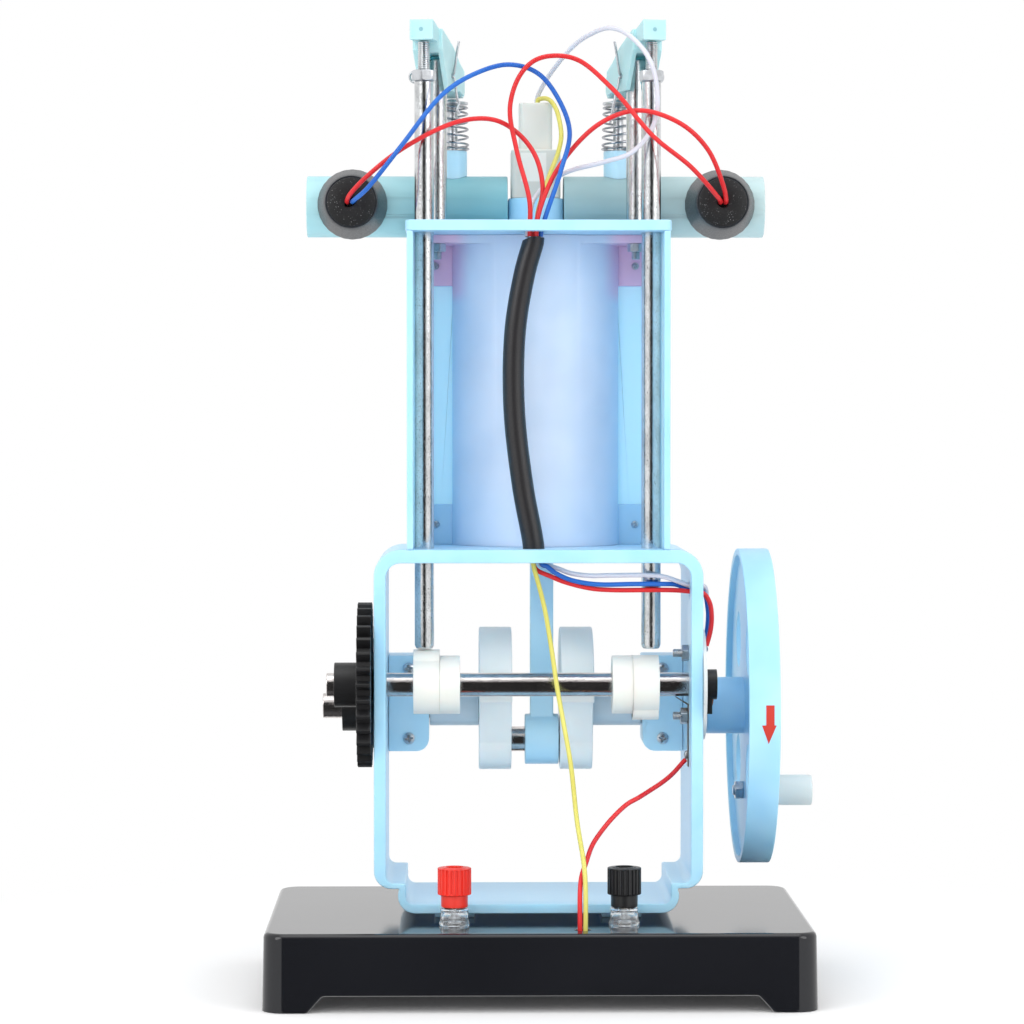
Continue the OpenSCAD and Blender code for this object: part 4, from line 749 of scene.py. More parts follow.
lampStart, lampLead = levels["lampY"], levels["lampY"] - levels["lead"]
top, caseX, faceX = levels["holderTop"], levels["caseX"], levels["faceX"]
camY, camZ = levels["camshaftY"], levels["camshaftZ"]
leadX, leadY = levels["baseHole"]
wireRoutes = {
    "leftLampBlue": ("left_lamp_wires", "wireBlue", above("plate", [
        (-86, lampStart, 14.8), (-86, lampLead, 14.8), (-85, -17, 15), (-78, -28, 20.4), (-63, -32, 38.8),
        (-44, -32.5, 62.4), (-30, -32, 71.6), (-14, -31, 76.3), (-1, -29.5, 73), (8, -28.5, 63),
        (14.4, -29, 46), (10.4, -28.5, 28), (3.6, -25.8, 7.6)]) + intoSleeve(1.1, -25.4)),
    "leftLampRed": ("left_lamp_wires", "wireRed", above("plate", [
        (-88.4, lampStart, 14.8), (-88.4, lampLead, 14.8), (-87, -17, 17.4), (-78.4, -25, 25.8),
        (-61.5, -28, 38.6), (-36, -28.5, 50.6), (-20, -28, 51.2), (-9, -26.5, 45), (-1, -24.5, 34.5),
        (2.2, -23.6, 20), (0.2, -24.4, 9)]) + intoSleeve(-2, -25)),
    "rightLampHigh": ("right_lamp_wires", "wireRed", above("plate", [
        (85.4, lampStart, 14.8), (85.4, lampLead, 14.8), (83, -18, 17), (70, -30, 29.8), (52.5, -33, 43.6),
        (33.5, -34, 65.4), (16.5, -34, 78.8), (0.5, -33.5, 79), (-8, -32.5, 72), (-13, -31.5, 57),
        (-10, -30, 37.5), (-4, -28.8, 14)]) + intoSleeve(-3.9, -27.7)),
    "rightLampLow": ("right_lamp_wires", "wireRed", above("plate", [
        (87.8, lampStart, 14.8), (87.8, lampLead, 14.8), (86.5, -17, 20), (78, -27, 38), (65, -31, 49.6),
        (46, -31, 55.4), (28, -27, 49.5), (9.5, -24.5, 29.8), (0.4, -27.8, 8.8)]) + intoSleeve(-0.9, -28)),
    "sparkLampYellow": ("spark_lamp_wires", "wireYellow", [
        (1, 31.4, top), (1, 31.4, top + levels["lead"])] + above("plate", [
        (4, 27.4, 66), (6.8, 23, 64.6), (9.4, 19, 60.4), (11, 14, 54), (11.6, 7, 46.4), (10, 0, 38.6),
        (6.6, -9, 29.6), (2.6, -16, 18.6), (-0.2, -21.2, 7.6)]) + intoSleeve(0.4, -22.6)),
    "sparkLampWhite": ("spark_lamp_wires", "wireWhite", [
        (0.4, 34.6, top), (0.4, 34.6, top + levels["lead"])] + above("plate", [
        (4, 28, 73), (9.6, 18, 80.6), (17.2, 4, 88.4), (24.6, -8, 92.6), (33, -17, 94.6), (41, -25, 91),
        (50, -31.4, 80.5), (54.2, -29.6, 68), (53.4, -27.4, 50), (43.5, -27, 36.8), (30, -24, 32.2),
        (14, -15.6, 28.4), (4, -7, 22.6), (-2, -14.6, 15), (-3.6, -19.6, 8)]) + intoSleeve(-5.1, -24.6)),
    "discBlue": ("disc_wires", "wireBlue", outOfSleeve(1.2, -25.6) + above("hole", [
        (3.6, -26, 11.4), (7.4, -26.6, 8.5), (13.6, -27.2, 5.4), (21, -27.4, 3.6),
        (29, -27.4, 2.8), (44, -27.4, 3), (caseX - 19, -27, 3),
        (caseX - 11, -23.2, 2.4), (caseX - 5, -21, -0.4), (caseX + 1.3, -20, -1.4),
        (caseX + 3.5, -15.6, -8), (caseX + 4.1, -11.4, -16.4)]) + [(faceX, camY + 10.2, camZ + 20)]),
    "discRed": ("disc_wires", "wireRed", outOfSleeve(-2, -25) + above("hole", [
        (-1.2, -25, 10), (0.8, -25.2, 8.6), (5.6, -25.4, 6.6), (12, -25.6, 4),
        (24, -25.8, 1), (33.5, -25.8, 0.2), (caseX - 19, -25.8, 0.2),
        (caseX - 11, -25.6, 0), (caseX - 5, -24.6, -0.6), (caseX + 0.9, -23.4, -1.4),
        (caseX + 4.1, -22, -6), (caseX + 5.1, -20.8, -13), (caseX + 4.5, -19.8, -19.6)]) + [
            (faceX, camY, camZ + 18)]),
    "discWhite": ("disc_wires", "wireWhite", outOfSleeve(0.4, -22.6) + above("hole", [
        (3, -23, 11.8), (8.8, -24, 10.2), (14.8, -25, 8), (24, -26, 6.8),
        (35, -26.4, 7), (caseX - 19, -26.4, 6.6), (caseX - 11, -25.4, 4.2),
        (caseX - 5, -22.6, 2), (caseX + 1.2, -20.6, 1.9), (caseX + 3.3, -15, -3.4),
        (caseX + 4.3, -9, -12), (caseX + 3.9, -4.6, -20.4)]) + [(faceX, camY + 16.2, camZ + 18)]),
    "baseYellow": ("base_wires", "wireYellow", outOfSleeve(-2.4, -28) + [
        (-1.2, -28.2, 194), (3, -28.6, 177.6), (6.2, -29.4, 158.7), (8.6, -32, 142), (11.4, -36, 126),
        (14.6, -44, 107), (17, -56, 83), (leadX + 0.6, leadY + 2, 64), (leadX + 1.2, leadY, 54),
        (leadX + 1.2, leadY, levels["holeFloor"])]),
    "baseRed": ("base_wires", "wireRed", [
        (68.6, camY, camZ - 35), (66.6, -20, 105), (62.6, -23, 101), (57.8, -26, 97.4), (51.4, -30, 93.7),
        (45.6, -36, 90.9), (40.8, -39, 88.6), (33.8, -45, 83), (28.2, -50, 77), (24, -56, 71.6),
        (20.8, -64, 64.4), (18.8, -67, 59), (leadX - 1.2, leadY + 0.8, 53),
        (leadX - 1.2, leadY, levels["holeFloor"])]),
}


def makeWires():
    for name, (node, finish, points) in wireRoutes.items():
        route = smoothRoute([at(*p) for p in points], wireSize["points"])
        radius = wireSize["diameter"] / 2 * mm
        fine = smoothRoute(route, 4 * wireSize["points"])
        verts, faces = sweep(fine, radius, wireSize["sides"])
        wire = place(name, verts, faces, finish, "frame", [node],
                     "red_wire" if finish == "wireRed" else "mixed_wire", 50)
        print(name, round(lengthOf(fine) * 1000, 1), "mm")


sleeve = {
    "radius": 5.0, "bore": 4.3, "sides": 32, "points": 60, "slant": 2.6, "flatShare": 0.2,
    "route": [(-2, -25, 349), (-2, -25, 347.6), (-6, -25, 333), (-10.5, -25, 306), (-11, -25, 270),
              (-7, -25, 234), (-2, -25, 206), (-2, -25, 199.5)],
}


def makeSleeve():
    # its top end is cut slanting on the left
    sides, radius = sleeve["sides"], sleeve["radius"] * mm
    route = smoothRoute([at(*p) for p in sleeve["route"]], sleeve["points"])
    outer, outerFaces = sweep(route, radius, sides, tips=False)
    inner, innerFaces = sweep(route, sleeve["bore"] * mm, sides, tips=False)
    for ring in (outer, inner):
        for k in range(sides):
            lean = (ring[k] - route[0]).x / radius
            notch = max(0.0, -lean - sleeve["flatShare"]) * sleeve["slant"] * mm
            ring[k] = ring[k] - Vector((0, 0, 1)) * notch
    start = len(outer)
    verts = outer + inner
    faces = outerFaces + [tuple(start + i for i in reversed(f)) for f in innerFaces]
    last = (len(route) - 1) * sides
    for k in range(sides):
        n = (k + 1) % sides
        faces.append((k, start + k, start + n, n))
        faces.append((last + k, last + n, start + last + n, start + last + k))
    tube = place("wireSleeveTube", verts, faces, "sleeve", "frame", ["wire_sleeve"], "black_rubber", 50)
    print("sleeve", round(lengthOf(route) * 1000, 1), "mm")


makeWires()
makeSleeve()
print("wires are laid")

# Moulded and machined parts that keep their CAD shape, with rounded edges
for node, finish, edge in [
        ("base", "tray", 0.9), ("crankcase", "skyCase", 0.7), ("left_bearing_cap", "skyPale", 0.25),
        ("right_bearing_cap", "skyPale", 0.25), ("engine_body", "skyInside", 0.5),
        ("engine_cylinder", "cylinder", 0.4), ("head_plate", "sky", 0.6), ("cylinder_head", "sky", 0.6),
        ("inlet_pipe", "teal", 0.5), ("exhaust_pipe", "tealGrey", 0.5), ("valve_guides", "skyPale", 0.4),
        ("journal_spacers", "spacer", 0.6), ("handwheel", "sky", 0.5), ("connecting_rod", "skyPale", 0.6),
        ("crank_webs", "webNylon", 0.7), ("left_cam", "camNylon", 0.3), ("right_cam", "camNylon", 0.3),
        ("cam_gear", "gearBlack", 0.25), ("crank_gear", "gearBlack", 0.25), ("handle", "nylon", 0.7),
        ("contact_disc", "discFace", 0.2), ("distributor_rotor", "gearBlack", 0.25),
        ("piston", "piston", 0.5), ("piston_rings", "iron", 0.12), ("wrist_pin", "chrome", 0.3),
        ("crankshaft", "shaftChrome", 0.5), ("camshaft", "shaftChrome", 0.5), ("left_rocker", "rocker", 0.45),
        ("right_rocker", "rocker", 0.45), ("contact_strip", "tin", 0.1), ("spark_lamp_holder", "milky", 0.6),
        ("red_insert", "brass", 0.2), ("black_insert", "brass", 0.2)]:
    dressed(node, finish, edge)
print("CAD parts are dressed")


# Geometry Nodes: a wire along a path of edges, and one part repeated on points
def startTree(name, sockets):
    tree = bpy.data.node_groups.new(name, "GeometryNodeTree")
    tree.interface.new_socket("Geometry", in_out="INPUT", socket_type="NodeSocketGeometry")
    keys = {}
    for label, kind in sockets:
        keys[label] = tree.interface.new_socket(label, in_out="INPUT", socket_type=kind).identifier
    tree.interface.new_socket("Geometry", in_out="OUTPUT", socket_type="NodeSocketGeometry")
    return tree, newNode(tree, "NodeGroupInput").outputs, newNode(tree, "NodeGroupOutput"), keys


def finishTree(tree, given, out, geometry):
    real = newNode(tree, "GeometryNodeRealizeInstances", {"Geometry": geometry})
    paint = newNode(tree, "GeometryNodeSetMaterial", {
        "Geometry": real.outputs["Geometry"], "Material": given["Finish"]})
    feed(tree, out, {"Geometry": paint.outputs["Geometry"]})


def coilTree():
    tree, given, out, keys = startTree("wireAlongPath", [
        ("Wire Radius", "NodeSocketFloat"), ("Sides", "NodeSocketInt"), ("Finish", "NodeSocketMaterial")])
    curve = newNode(tree, "GeometryNodeMeshToCurve", {"Mesh": given["Geometry"]})
    ring = newNode(tree, "GeometryNodeCurvePrimitiveCircle", {
        "Radius": given["Wire Radius"], "Resolution": given["Sides"]})
    tube = newNode(tree, "GeometryNodeCurveToMesh", {
        "Curve": curve.outputs["Curve"], "Profile Curve": ring.outputs["Curve"], "Fill Caps": True})
    finishTree(tree, given, out, tube.outputs["Mesh"])
    return tree, keys


def repeatTree():
    tree, given, out, keys = startTree("partOnPoints", [
        ("Part", "NodeSocketObject"), ("Size", "NodeSocketFloat"), ("Finish", "NodeSocketMaterial")])
    info = newNode(tree, "GeometryNodeObjectInfo", {"Object": given["Part"]})
    aim = newNode(tree, "GeometryNodeInputNamedAttribute", {"Name": "aim"}, data_type="FLOAT_VECTOR")
    copies = newNode(tree, "GeometryNodeInstanceOnPoints", {
        "Points": given["Geometry"], "Instance": info.outputs["Geometry"],
        "Rotation": aim.outputs["Attribute"], "Scale": given["Size"]})
    finishTree(tree, given, out, copies.outputs["Instances"])
    return tree, keys


def baked(name, mesh, tree, keys, values):
    source = bpy.data.objects.new(name, mesh)
    scene.collection.objects.link(source)
    maker = source.modifiers.new("maker", "NODES")
    maker.node_group = tree
    for label, value in values.items():
        maker[keys[label]] = value
    result = applied(source)
    bpy.data.objects.remove(source)
    return result


coils, coilKeys = coilTree()
repeats, repeatKeys = repeatTree()


def repeated(name, part, spots, finish, node, size=1.0):
    mesh = bpy.data.meshes.new(name + "Points")
    mesh.from_pydata([spot for spot, aim in spots], [], [])
    aims = mesh.attributes.new("aim", "FLOAT_VECTOR", "POINT")
    for i, (spot, aim) in enumerate(spots):
        aims.data[i].vector = [math.radians(v) for v in aim]
    partMesh = bpy.data.meshes.new(name + "Part")
    partMesh.from_pydata([tuple(v) for v in part[0]], [], part[1])
    holder = bpy.data.objects.new(name + "Part", partMesh)
    scene.collection.objects.link(holder)
    result = baked(name, mesh, repeats, repeatKeys, {
        "Part": holder, "Size": size, "Finish": finishes[finish]})
    bpy.data.objects.remove(holder)
    return placeMesh(name, result, finish, bodyOf(node), [node])


# Valve springs, with closed turns at both ends
coilSpring = {"x": 39.5, "y": 33, "foot": 392.54, "length": 21.9, "footRadius": 7.7, "topRadius": 6.9,
              "wire": 0.53, "sides": 10, "turns": 7.2, "closed": 1.1, "closedPitch": 2.1, "start": 0.6,
              "perTurn": 28, "keep": 0.827}
bothSides = [(-1, "left"), (1, "right")]
bothValves = [(-1, "inlet"), (1, "exhaust")]


def coilPoints(side):
    turns, closed, wire = coilSpring["turns"], coilSpring["closed"], coilSpring["wire"]
    pitch, free = coilSpring["closedPitch"] * wire, coilSpring["length"] - 2 * wire
    points = []
    for i in range(int(turns * coilSpring["perTurn"]) + 1):
        turn = i / coilSpring["perTurn"]
        share = (turn - closed) / (turns - 2 * closed)
        h = closed * pitch + (free - 2 * closed * pitch) * share
        if turn < closed:
            h = turn * pitch
        elif turn > turns - closed:
            h = free - (turns - turn) * pitch
        r = coilSpring["footRadius"] + (coilSpring["topRadius"] - coilSpring["footRadius"]) * turn / turns
        a = 2 * math.pi * turn + coilSpring["start"]
        points.append(at(side * (coilSpring["x"] + r * math.cos(a)), coilSpring["y"] + r * math.sin(a),
                         coilSpring["foot"] + wire + h))
    return points


for side, name in bothValves:
    points = coilPoints(side)
    path = bpy.data.meshes.new(name + "Path")
    path.from_pydata(points, [(i, i + 1) for i in range(len(points) - 1)], [])
    coil = baked(name + "Coil", path, coils, coilKeys, {
        "Wire Radius": coilSpring["wire"] * mm, "Sides": coilSpring["sides"], "Finish": finishes["spring"]})
    made = placeMesh(name + "SpringCoil", coil, "spring", bodyOf(name + "_spring"), [name + "_spring"])
    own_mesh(made)
print("springs are coiled")


# Screws with crossed recesses
def crossHead(radius, rise, depth, arm, width, sides=48, rings=12):
    verts = [(0, 0, -rise + depth)]
    for i in range(1, rings + 1):
        r = radius * math.sin(math.pi / 2 * i / rings)
        for x, y in circle(r, sides):
            h = -rise * (1 - 0.45 * (r / radius) ** 2.4)
            if (abs(x) < width and abs(y) < arm) or (abs(y) < width and abs(x) < arm):
                h += depth * (1 - 0.5 * r / arm)
            verts.append((x, y, h))
    verts += [(x, y, 0) for x, y in circle(radius, sides)]
    faces = [(0, 1 + (k + 1) % sides, 1 + k) for k in range(sides)]
    for i in range(rings):
        faces += band(1 + i * sides, 1 + (i + 1) * sides, sides)
    faces.append(tuple(1 + rings * sides + k for k in range(sides)))
    return [Vector(v) * mm for v in verts], faces


# Pan-head screws: head (radius, rise, recess's depth, arm and width), shaft, and where they sit
panScrew = {
    "head": (2.75, 2.0, 1.1, 1.7, 0.42),
    "shaft": [(0, -0.1), (1.5, -0.1), (1.5, 6.6), (1.1, 7), (0, 7)],
    "capX": 60.2, "capFace": 19.98, "capHeights": (113.6, 146.8),
    "lugX": 47.55, "lugFace": 31.68, "lugHeights": (214.8, 337.9), "lugSize": 0.62,
    "baseX": 38.5, "baseFace": 26.58,
}
screwPart = joined([crossHead(*panScrew["head"]), turned(panScrew["shaft"], up, Vector((0, 0, 0)), 24)])
screwSpots, lugSpots = [], []
for side, name in bothSides:
    for z in panScrew["capHeights"]:
        screwSpots.append((at(side * panScrew["capX"], panScrew["capFace"], z), (-90, 12 * side, 0)))
    for z in panScrew["lugHeights"]:
        lugSpots.append((at(side * panScrew["lugX"], panScrew["lugFace"], z), (-90, 25 * side, 0)))
    screwSpots.append((at(side * panScrew["baseX"], 0, panScrew["baseFace"]), (0, 0, 20)))
repeated("frameScrewSet", screwPart, screwSpots, "screwSteel", "frame_screws")
repeated("lugScrewSet", screwPart, lugSpots, "screwSteel", "frame_screws",
         panScrew["lugSize"])

discScrew = {"offset": 14.6, "nuts": (66.78, 66.18), "across": 7, "high": 3.2, "bore": 2.02,
             "thread": (2.0, 0.28, 0.7), "end": 62.72,
             "head": [(1.98, 75.6), (3.45, 77.08), (2.2, 77.1), (1.9, 76.5), (0, 76.5)]}
discParts = []
for rise, nut in zip((discScrew["offset"], -discScrew["offset"]), discScrew["nuts"]):
    centre, nutEnd = at(0, camY, camZ + rise), nut + discScrew["high"]
    discParts += [
        hexNut(discScrew["across"], nut, nutEnd, discScrew["bore"], right, centre, 0.3),
        threaded(*discScrew["thread"], discScrew["end"], nutEnd, right, centre, 28, 0.4),
        turned([(0, nut + 3), (1.98, nut + 3)] + discScrew["head"], right, centre, 40)]
steelPiece("discScrewSet", discParts, "disc_screws", 35)

# Push-rods with their threads and lock nuts, posts and valves: profiles are (radius, height),
# threads (radius, depth, pitch, foot, top) and nuts (width across, foot, top, bore)
pushRod = {
    "x": 52.5, "thread": (2.98, 0.42, 1.0, 420.6, 439.25), "nut": (10, 421.02, 425.98, 2.95), "nutTurn": 0.26,
    "rod": [(0, 158.74), (3.3, 158.74), (3.75, 158.95), (4.35, 160.1), (4.5, 160.8), (4.5, 290), (4.5, 420.4),
            (4.2, 420.95), (0, 420.95)],
}
for side, name in bothSides:
    centre = at(side * pushRod["x"], camY, 0)
    steelPiece(name + "PushRodTurned", [
        turned(pushRod["rod"], up, centre, 64), threaded(*pushRod["thread"], up, centre, 40, 0.5)],
        name + "_push_rod", 28, "rodChrome")
    steelPiece(name + "LockNut", [hexNut(*pushRod["nut"], up, centre, pushRod["nutTurn"] * side)],
               name + "_push_rod")

post = {
    "x": 46.473, "y": 5, "stud": (2.0, 0.26, 0.7, 339.85, 356.3), "nut": (7, 343.4, 347.36, 2.02),
    "post": [(0, 356.24), (4.5, 356.24), (4.5, 400), (4.5, 432.5), (4.1, 432.96), (0, 432.96)],
}
for side, name in bothSides:
    centre = at(side * post["x"], post["y"], 0)
    label = name.capitalize()
    steelPiece("rockerPost" + label, [turned(post["post"], up, centre, 64)], "rocker_posts", 28, "rodChrome")
    steelPiece("postStud" + label, [threaded(*post["stud"], up, centre, 28, 0.4)], "rocker_posts")
    steelPiece("postNut" + label, [hexNut(*post["nut"], up, centre, 0.2)], "post_nuts")

valve = [(0, 363.02), (7.6, 363.02), (8, 363.5), (8, 365.2), (6.2, 366), (2.9, 367.4), (2.48, 369),
         (2.48, 414.45), (7.2, 414.48), (7.48, 414.7), (7.48, 415.5), (7.2, 415.75), (4.1, 415.8),
         (3.7, 416.3), (2.6, 416.35), (2.48, 416.8), (2.1, 417.08), (0, 417.08)]
for side, name in bothValves:
    centre = at(side * coilSpring["x"], coilSpring["y"], 0)
    steelPiece(name + "ValveTurned", [turned(valve, up, centre, 56)], name + "_valve", 30)

# Split pins through the rockers: an eye outside and two spread legs inside. Their points are
# (along the pin away from the model's middle, along the rocker's arm, up), mirrored for the left
splitPin = {
    "wire": 0.62, "shank": 1.15, "eye": 2.6, "eyeAt": 10.7, "eyePoints": 25, "height": 425.4,
    "shankEnds": (8.7, 0, -7.4),
    "legUp": [(-7.2, 0.4, 0.4), (-7.9, 0.5, 0.9), (-8.3, 0.4, 3), (-9.2, 0, 9.5), (-10.2, -0.6, 16.2)],
    "leftLegDown": [(-7.2, -0.4, -0.4), (-7.9, -0.4, -0.9), (-8.4, -0.2, -3), (-9.6, 0.6, -10),
                    (-10.4, 0.2, -13), (-9.9, 1.4, -15.4), (-11, 1.8, -18)],
    "rightLegDown": [(-7.2, -0.4, -0.4), (-7.9, -0.4, -0.9), (-8.2, -0.2, -3), (-10, 0.4, -9),
                     (-12.6, 0, -22)],
}
rockerMark = {"place": (53.83, -24.54, 444.4),
              "profile": [(0, 0.06), (0.7, 0.06), (0.95, 0.02), (1.0, -0.2), (0, -0.2)]}
armWay = Vector((0.2417, -0.9703, 0))
pinWay = Vector((0.9703, 0.2417, 0))


def pinPlace(side, out, along, rise):
    spot = Vector((post["x"], post["y"], splitPin["height"])) + pinWay * out + armWay * along
    return at(side * spot.x, spot.y, spot.z + rise)


for side, name in bothSides:
    shank = [pinPlace(side, out, 0, 0) for out in splitPin["shankEnds"]]
    eye = [pinPlace(side, splitPin["eyeAt"] - x, 0.2, -y)
           for x, y in circle(splitPin["eye"], splitPin["eyePoints"])]
    parts = [sweep(smoothRoute(shank, 8), splitPin["shank"] * mm, 20),
             sweep(eye, splitPin["wire"] * mm, 10, closed=True)]
    for leg in (splitPin["legUp"], splitPin[name + "LegDown"]):
        route = smoothRoute([pinPlace(side, *p) for p in leg], 30)
        parts.append(sweep(route, splitPin["wire"] * mm, 10))
    steelPiece(name + "SplitPin", parts, name + "_rocker_pin", 40)
    x, y, z = rockerMark["place"]
    way = Vector((side * armWay.x, armWay.y, 0))
    piece(name + "RockerMark", [turned(rockerMark["profile"], way, at(side * x, y, z), 24)],
          "rockerMark", name + "_rocker", None, 60)
print("rods, posts and valves are turned")

# Lamp caps: a ribbed rubber cone with a dark face round its hole, which is a slanted slot on the left
lampCap = {
    "x": 86.5, "y": 20.5, "z": 366, "sides": 104, "ribs": 26, "ribDepth": 0.12, "ribsTo": 9, "ribsFrom": 15,
    "hole": 4, "slotTurn": 0.6, "slotWidth": 1.35, "slotHeight": 0.72,
    "cone": [(16.1, 5.2), (16.45, 6.4), (16.5, 7.6), (16.3, 8.8), (15.5, 13), (14.4, 19), (13.3, 25),
             (12.75, 27.3), (12.5, 28.1), (12.2, 28.75), (11.95, 28.85), (11.7, 28.2), (11.45, 28.5),
             (11.2, 28.7)],
    "face": [(11.25, 28.4), (11.2, 28.72), (10.9, 28.85), (6, 28.85), (3.1, 28.85), (2.7, 28.7), (2.5, 28.2),
             (2.5, 24), (0, 24)],
    "wire": [(0, -8.62), (1.08, -8.62), (1.08, -4), (0, -4)],
    "leftWires": [(-86, "wireBlue"), (-88.4, "wireRed")],
    "rightWires": [(85.4, "wireRed"), (87.8, "wireRed")],
}
for side, name in bothSides:
    def capAt(r, h, a):
        if r < lampCap["hole"] and side < 0:
            a -= lampCap["slotTurn"]
            return r / math.hypot(math.cos(a) / lampCap["slotWidth"], math.sin(a) / lampCap["slotHeight"])
        if h < lampCap["ribsTo"] and r > lampCap["ribsFrom"]:
            return r - lampCap["ribDepth"] * (1 + math.cos(lampCap["ribs"] * a)) / 2
        return r

    centre = at(side * lampCap["x"], lampCap["y"], lampCap["z"])
    node = name + "_lamp_cap"
    for label, part, finish in [("CapCone", "cone", "rubber"), ("CapFace", "face", "rubberFace")]:
        piece(name + label, [turned(lampCap[part], (0, -1, 0), centre, lampCap["sides"], capAt)],
              finish, node, "black_rubber", 40)
    for x, finish in lampCap[name + "Wires"]:
        piece(name + finish + str(abs(int(x))), [turned(lampCap["wire"], back, at(x, 0, lampCap["z"]), 14)],
              finish, node, None, 50)

# Small lamps: a brass base and a glass bulb, by the last part of their names
smallLamp = {
    "places": {"11": (-86.5, 0.5, 366), "86": (86.5, 0.5, 366), "0": (0, 33, 365.62)},
    "base": [(0, 0), (2, 0), (2.2, 0.6), (4.4, 1), (4.7, 1.4), (4.7, 12.6), (4.4, 13.6), (4.0, 14), (0, 14)],
    "bulb": [(0, 14.05), (3.9, 14.05), (4.6, 14.8), (5.4, 16.6), (5.55, 18), (5.2, 20), (4.2, 21.8),
             (2.4, 22.9), (0, 23.2)],
}
for label, spot in smallLamp["places"].items():
    axis = up if label == "0" else back
    piece("lampBase" + label, [turned(smallLamp["base"], axis, at(*spot), 40)], "brass", "lamps", "brass", 30)
    piece("lampBulb" + label, [turned(smallLamp["bulb"], axis, at(*spot), 40)], "glass", "lamps", None, 60)

# Terminals: ribbed knobs with a ring on top, clear flared insulators and their studs
knob = {
    "x": 38.6, "y": -55, "sides": 216, "ribs": 22, "cut": 0.85,
    "ribsLow": 49.4, "ribsHigh": 60.9, "ribsFrom": 7,
    "profile": [(4.0, 43.52), (5.7, 43.52), (6.05, 43.8), (6.1, 44.2), (6.1, 46.2), (6.1, 48.9), (6.5, 49.2),
                (7.3, 49.24), (7.6, 49.39), (7.7, 49.6), (7.7, 50.2), (7.7, 60.4), (7.7, 60.8), (7.68, 60.95),
                (7.7, 61.05), (7.6, 61.3), (7.3, 61.45), (6.0, 61.5), (5.6, 61.55), (5.4, 61.75), (4.9, 61.8),
                (4.3, 61.75), (4.0, 61.5), (4.0, 55)],
}
terminal = {
    "insulator": [(1.75, 43.15), (5.9, 43.15), (6.25, 42.9), (6.35, 42.3), (6.35, 38.6), (6.5, 37.4),
                  (6.9, 36.6), (7.1, 36.2), (7.1, 35.5), (6.9, 35.24), (5.7, 35.24), (5.5, 36.4), (5.3, 39),
                  (5.1, 41.2), (4.6, 41.7), (1.75, 41.8)],
    "stud": [(0, 21.3), (1.2, 21.3), (1.48, 21.7), (1.48, 35.3), (2.9, 35.35), (3.1, 35.6), (3.1, 36.7),
             (2.9, 36.95), (1.5, 37), (1.5, 38), (2.6, 38.1), (2.8, 38.4), (2.8, 39.8), (2.6, 40.1),
             (1.5, 40.2), (1.48, 49.2), (1.2, 49.4), (0, 49.4)],
    "nut": (6, 30.22, 32.56, 1.5),
}


def ribAt(r, h, a):
    if knob["ribsLow"] < h < knob["ribsHigh"] and r > knob["ribsFrom"]:
        wave = math.cos(knob["ribs"] * a)
        return r - knob["cut"] * max(0.0, min(1.0, (wave + 0.35) * 2.2))
    return r


for side, tone, finish, slot in [(-1, "red", "knobRed", "red_plastic"), (1, "black", "knobBlack", None)]:
    shell = ringed(knob["profile"], up, at(side * knob["x"], knob["y"], 0), knob["sides"], ribAt)
    piece(tone + "KnobRibbed", [shell], finish, tone + "_knob", slot, 32)

for side, name in bothSides:
    centre = at(side * knob["x"], knob["y"], 0)
    label = name.capitalize()
    piece("insulator" + label, [ringed(terminal["insulator"], up, centre, 72)], "clear",
          "terminal_insulators", "clear_plastic", 40)
    steelPiece("terminalStud" + label, [
        turned(terminal["stud"], up, centre, 40), hexNut(*terminal["nut"], up, centre)], "terminal_studs", 32)

# Handwheel: bolt with its nut, and a plain arrow on the rim that shows which way to turn
handleBolt = {
    "place": (0, 33, 87.5), "nut": (8, 95.5, 99.46, 2.5),
    "bolt": [(0, 94.55), (2.1, 94.55), (2.48, 94.95), (2.48, 128.3), (4.3, 128.32), (4.48, 128.6),
             (4.48, 130.4), (4.1, 131.1), (3.2, 131.26), (0, 131.26)],
}
centre = at(*handleBolt["place"])
steelPiece("handleBoltTurned", [
    turned(handleBolt["bolt"], right, centre, 48), hexNut(*handleBolt["nut"], right, centre, 0.2)],
    "handle_bolt", 30)

arrow = {"radius": 75.04, "shaft": (104.2, 108.0), "head": (102.3, 109.0), "top": 134.0, "neck": 124.8,
         "tip": 116.2, "tipX": 105.4, "axisY": 33, "axisZ": 128.2, "rows": 14, "thick": 0.05, "blunt": 0.005}


def onRim(x, z):
    return at(x, arrow["axisY"] - math.sqrt(arrow["radius"] ** 2 - (z - arrow["axisZ"]) ** 2), z)


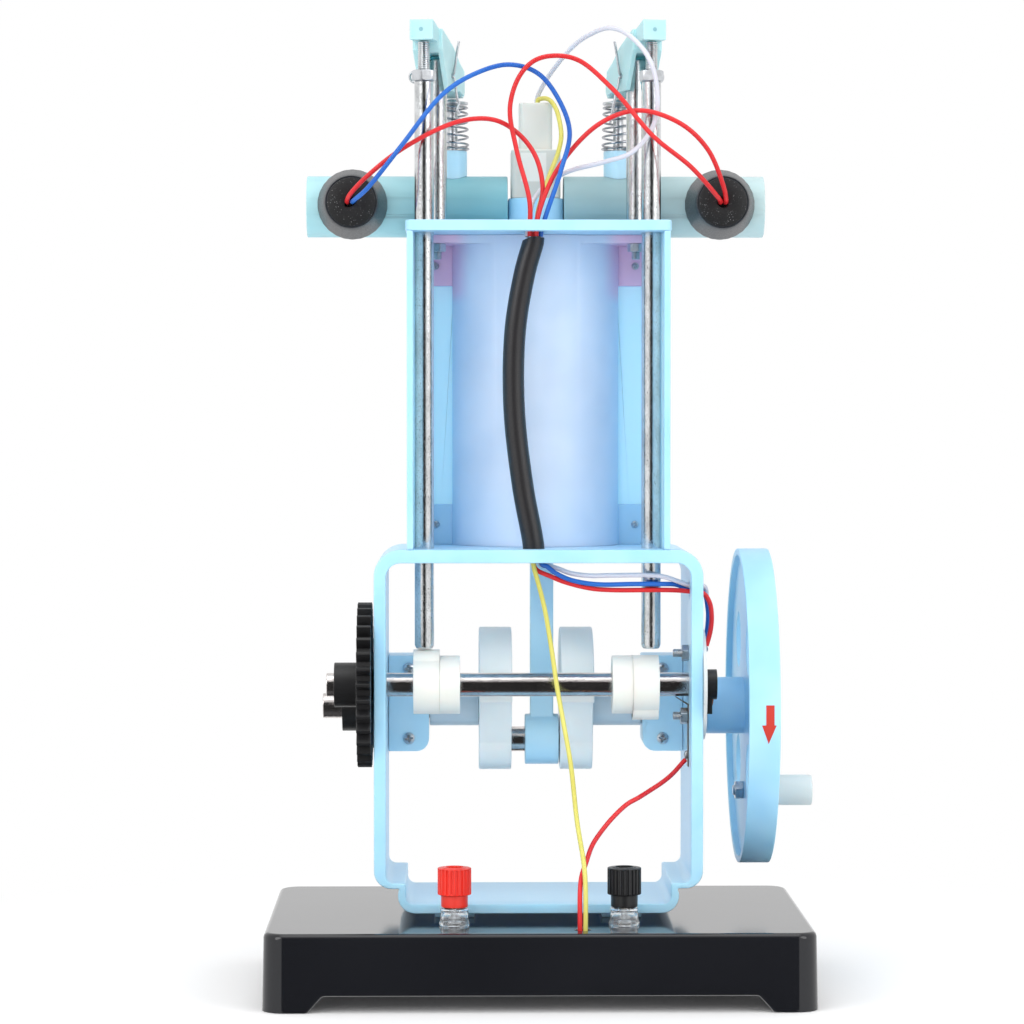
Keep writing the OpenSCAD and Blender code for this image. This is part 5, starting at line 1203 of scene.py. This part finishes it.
arrowShaft, arrowHead = [], []
for i in range(arrow["rows"] + 1):
    share = i / arrow["rows"]
    z = arrow["top"] + (arrow["neck"] - arrow["top"]) * share
    arrowShaft += [onRim(x, z) for x in arrow["shaft"]]
    z = arrow["neck"] + (arrow["tip"] - arrow["neck"]) * share
    width = 1 - share * (1 - arrow["blunt"])
    arrowHead += [onRim(arrow["tipX"] + (x - arrow["tipX"]) * width, z) for x in arrow["head"]]
strip = [(2 * i, 2 * i + 1, 2 * i + 3, 2 * i + 2) for i in range(arrow["rows"])]
verts, faces = joined([(arrowShaft, strip), (arrowHead, strip)])
lifted = [v - Vector((0, arrow["thick"], 0)) * mm for v in verts]
solid = faces + [tuple(len(verts) + i for i in reversed(face)) for face in faces]
place("rimArrow", verts + lifted, solid, "arrow", bodyOf("handwheel"), ["handwheel"], None, 60)


# Soldered ends of the wires at the disc and the strip
def blob(centre, radius, squash, count=10):
    profile = [(radius * math.sin(math.pi * i / count), -radius * squash * math.cos(math.pi * i / count))
               for i in range(1, count)]
    return turned([(0, -radius * squash)] + profile + [(0, radius * squash)], up, centre, 18)


wireCore = 0.5 * mm
solderParts = []
for name in ("discBlue", "discRed", "discWhite"):
    x, y, z = wireRoutes[name][2][-1]
    solderParts.append(blob(at(x - 0.5, y, z - 1.6), 1.25, 1.3))
    solderParts.append(sweep([at(x, y, z), at(x - 0.2, y, z - 1), at(x - 0.5, y, z - 2.6)], wireCore, 8))
piece("discSolder", solderParts, "solder", "contact_disc", None, 60)
x, y, z = wireRoutes["baseRed"][2][0]
piece("stripSolder", [
    blob(at(x + 0.6, y, z + 2.4), 1.3, 1.5),
    sweep([at(x, y, z), at(x + 0.2, y, z + 1.2), at(x + 0.5, y, z + 4)], wireCore, 8)],
    "solder", "contact_strip", None, 60)

# A copper brush under the rotor's arm
rotorBrush = {"radius": 0.55, "points": [(80.5, -3.2), (81.2, -6), (80.8, -9), (79.4, -12.2)]}
brushRoute = smoothRoute([at(x, camY - 0.2, camZ + z) for x, z in rotorBrush["points"]], 16)
piece("rotorBrush", [sweep(brushRoute, rotorBrush["radius"] * mm, 8)], "copper", "distributor_rotor",
      None, 50)
print("all pieces are placed")
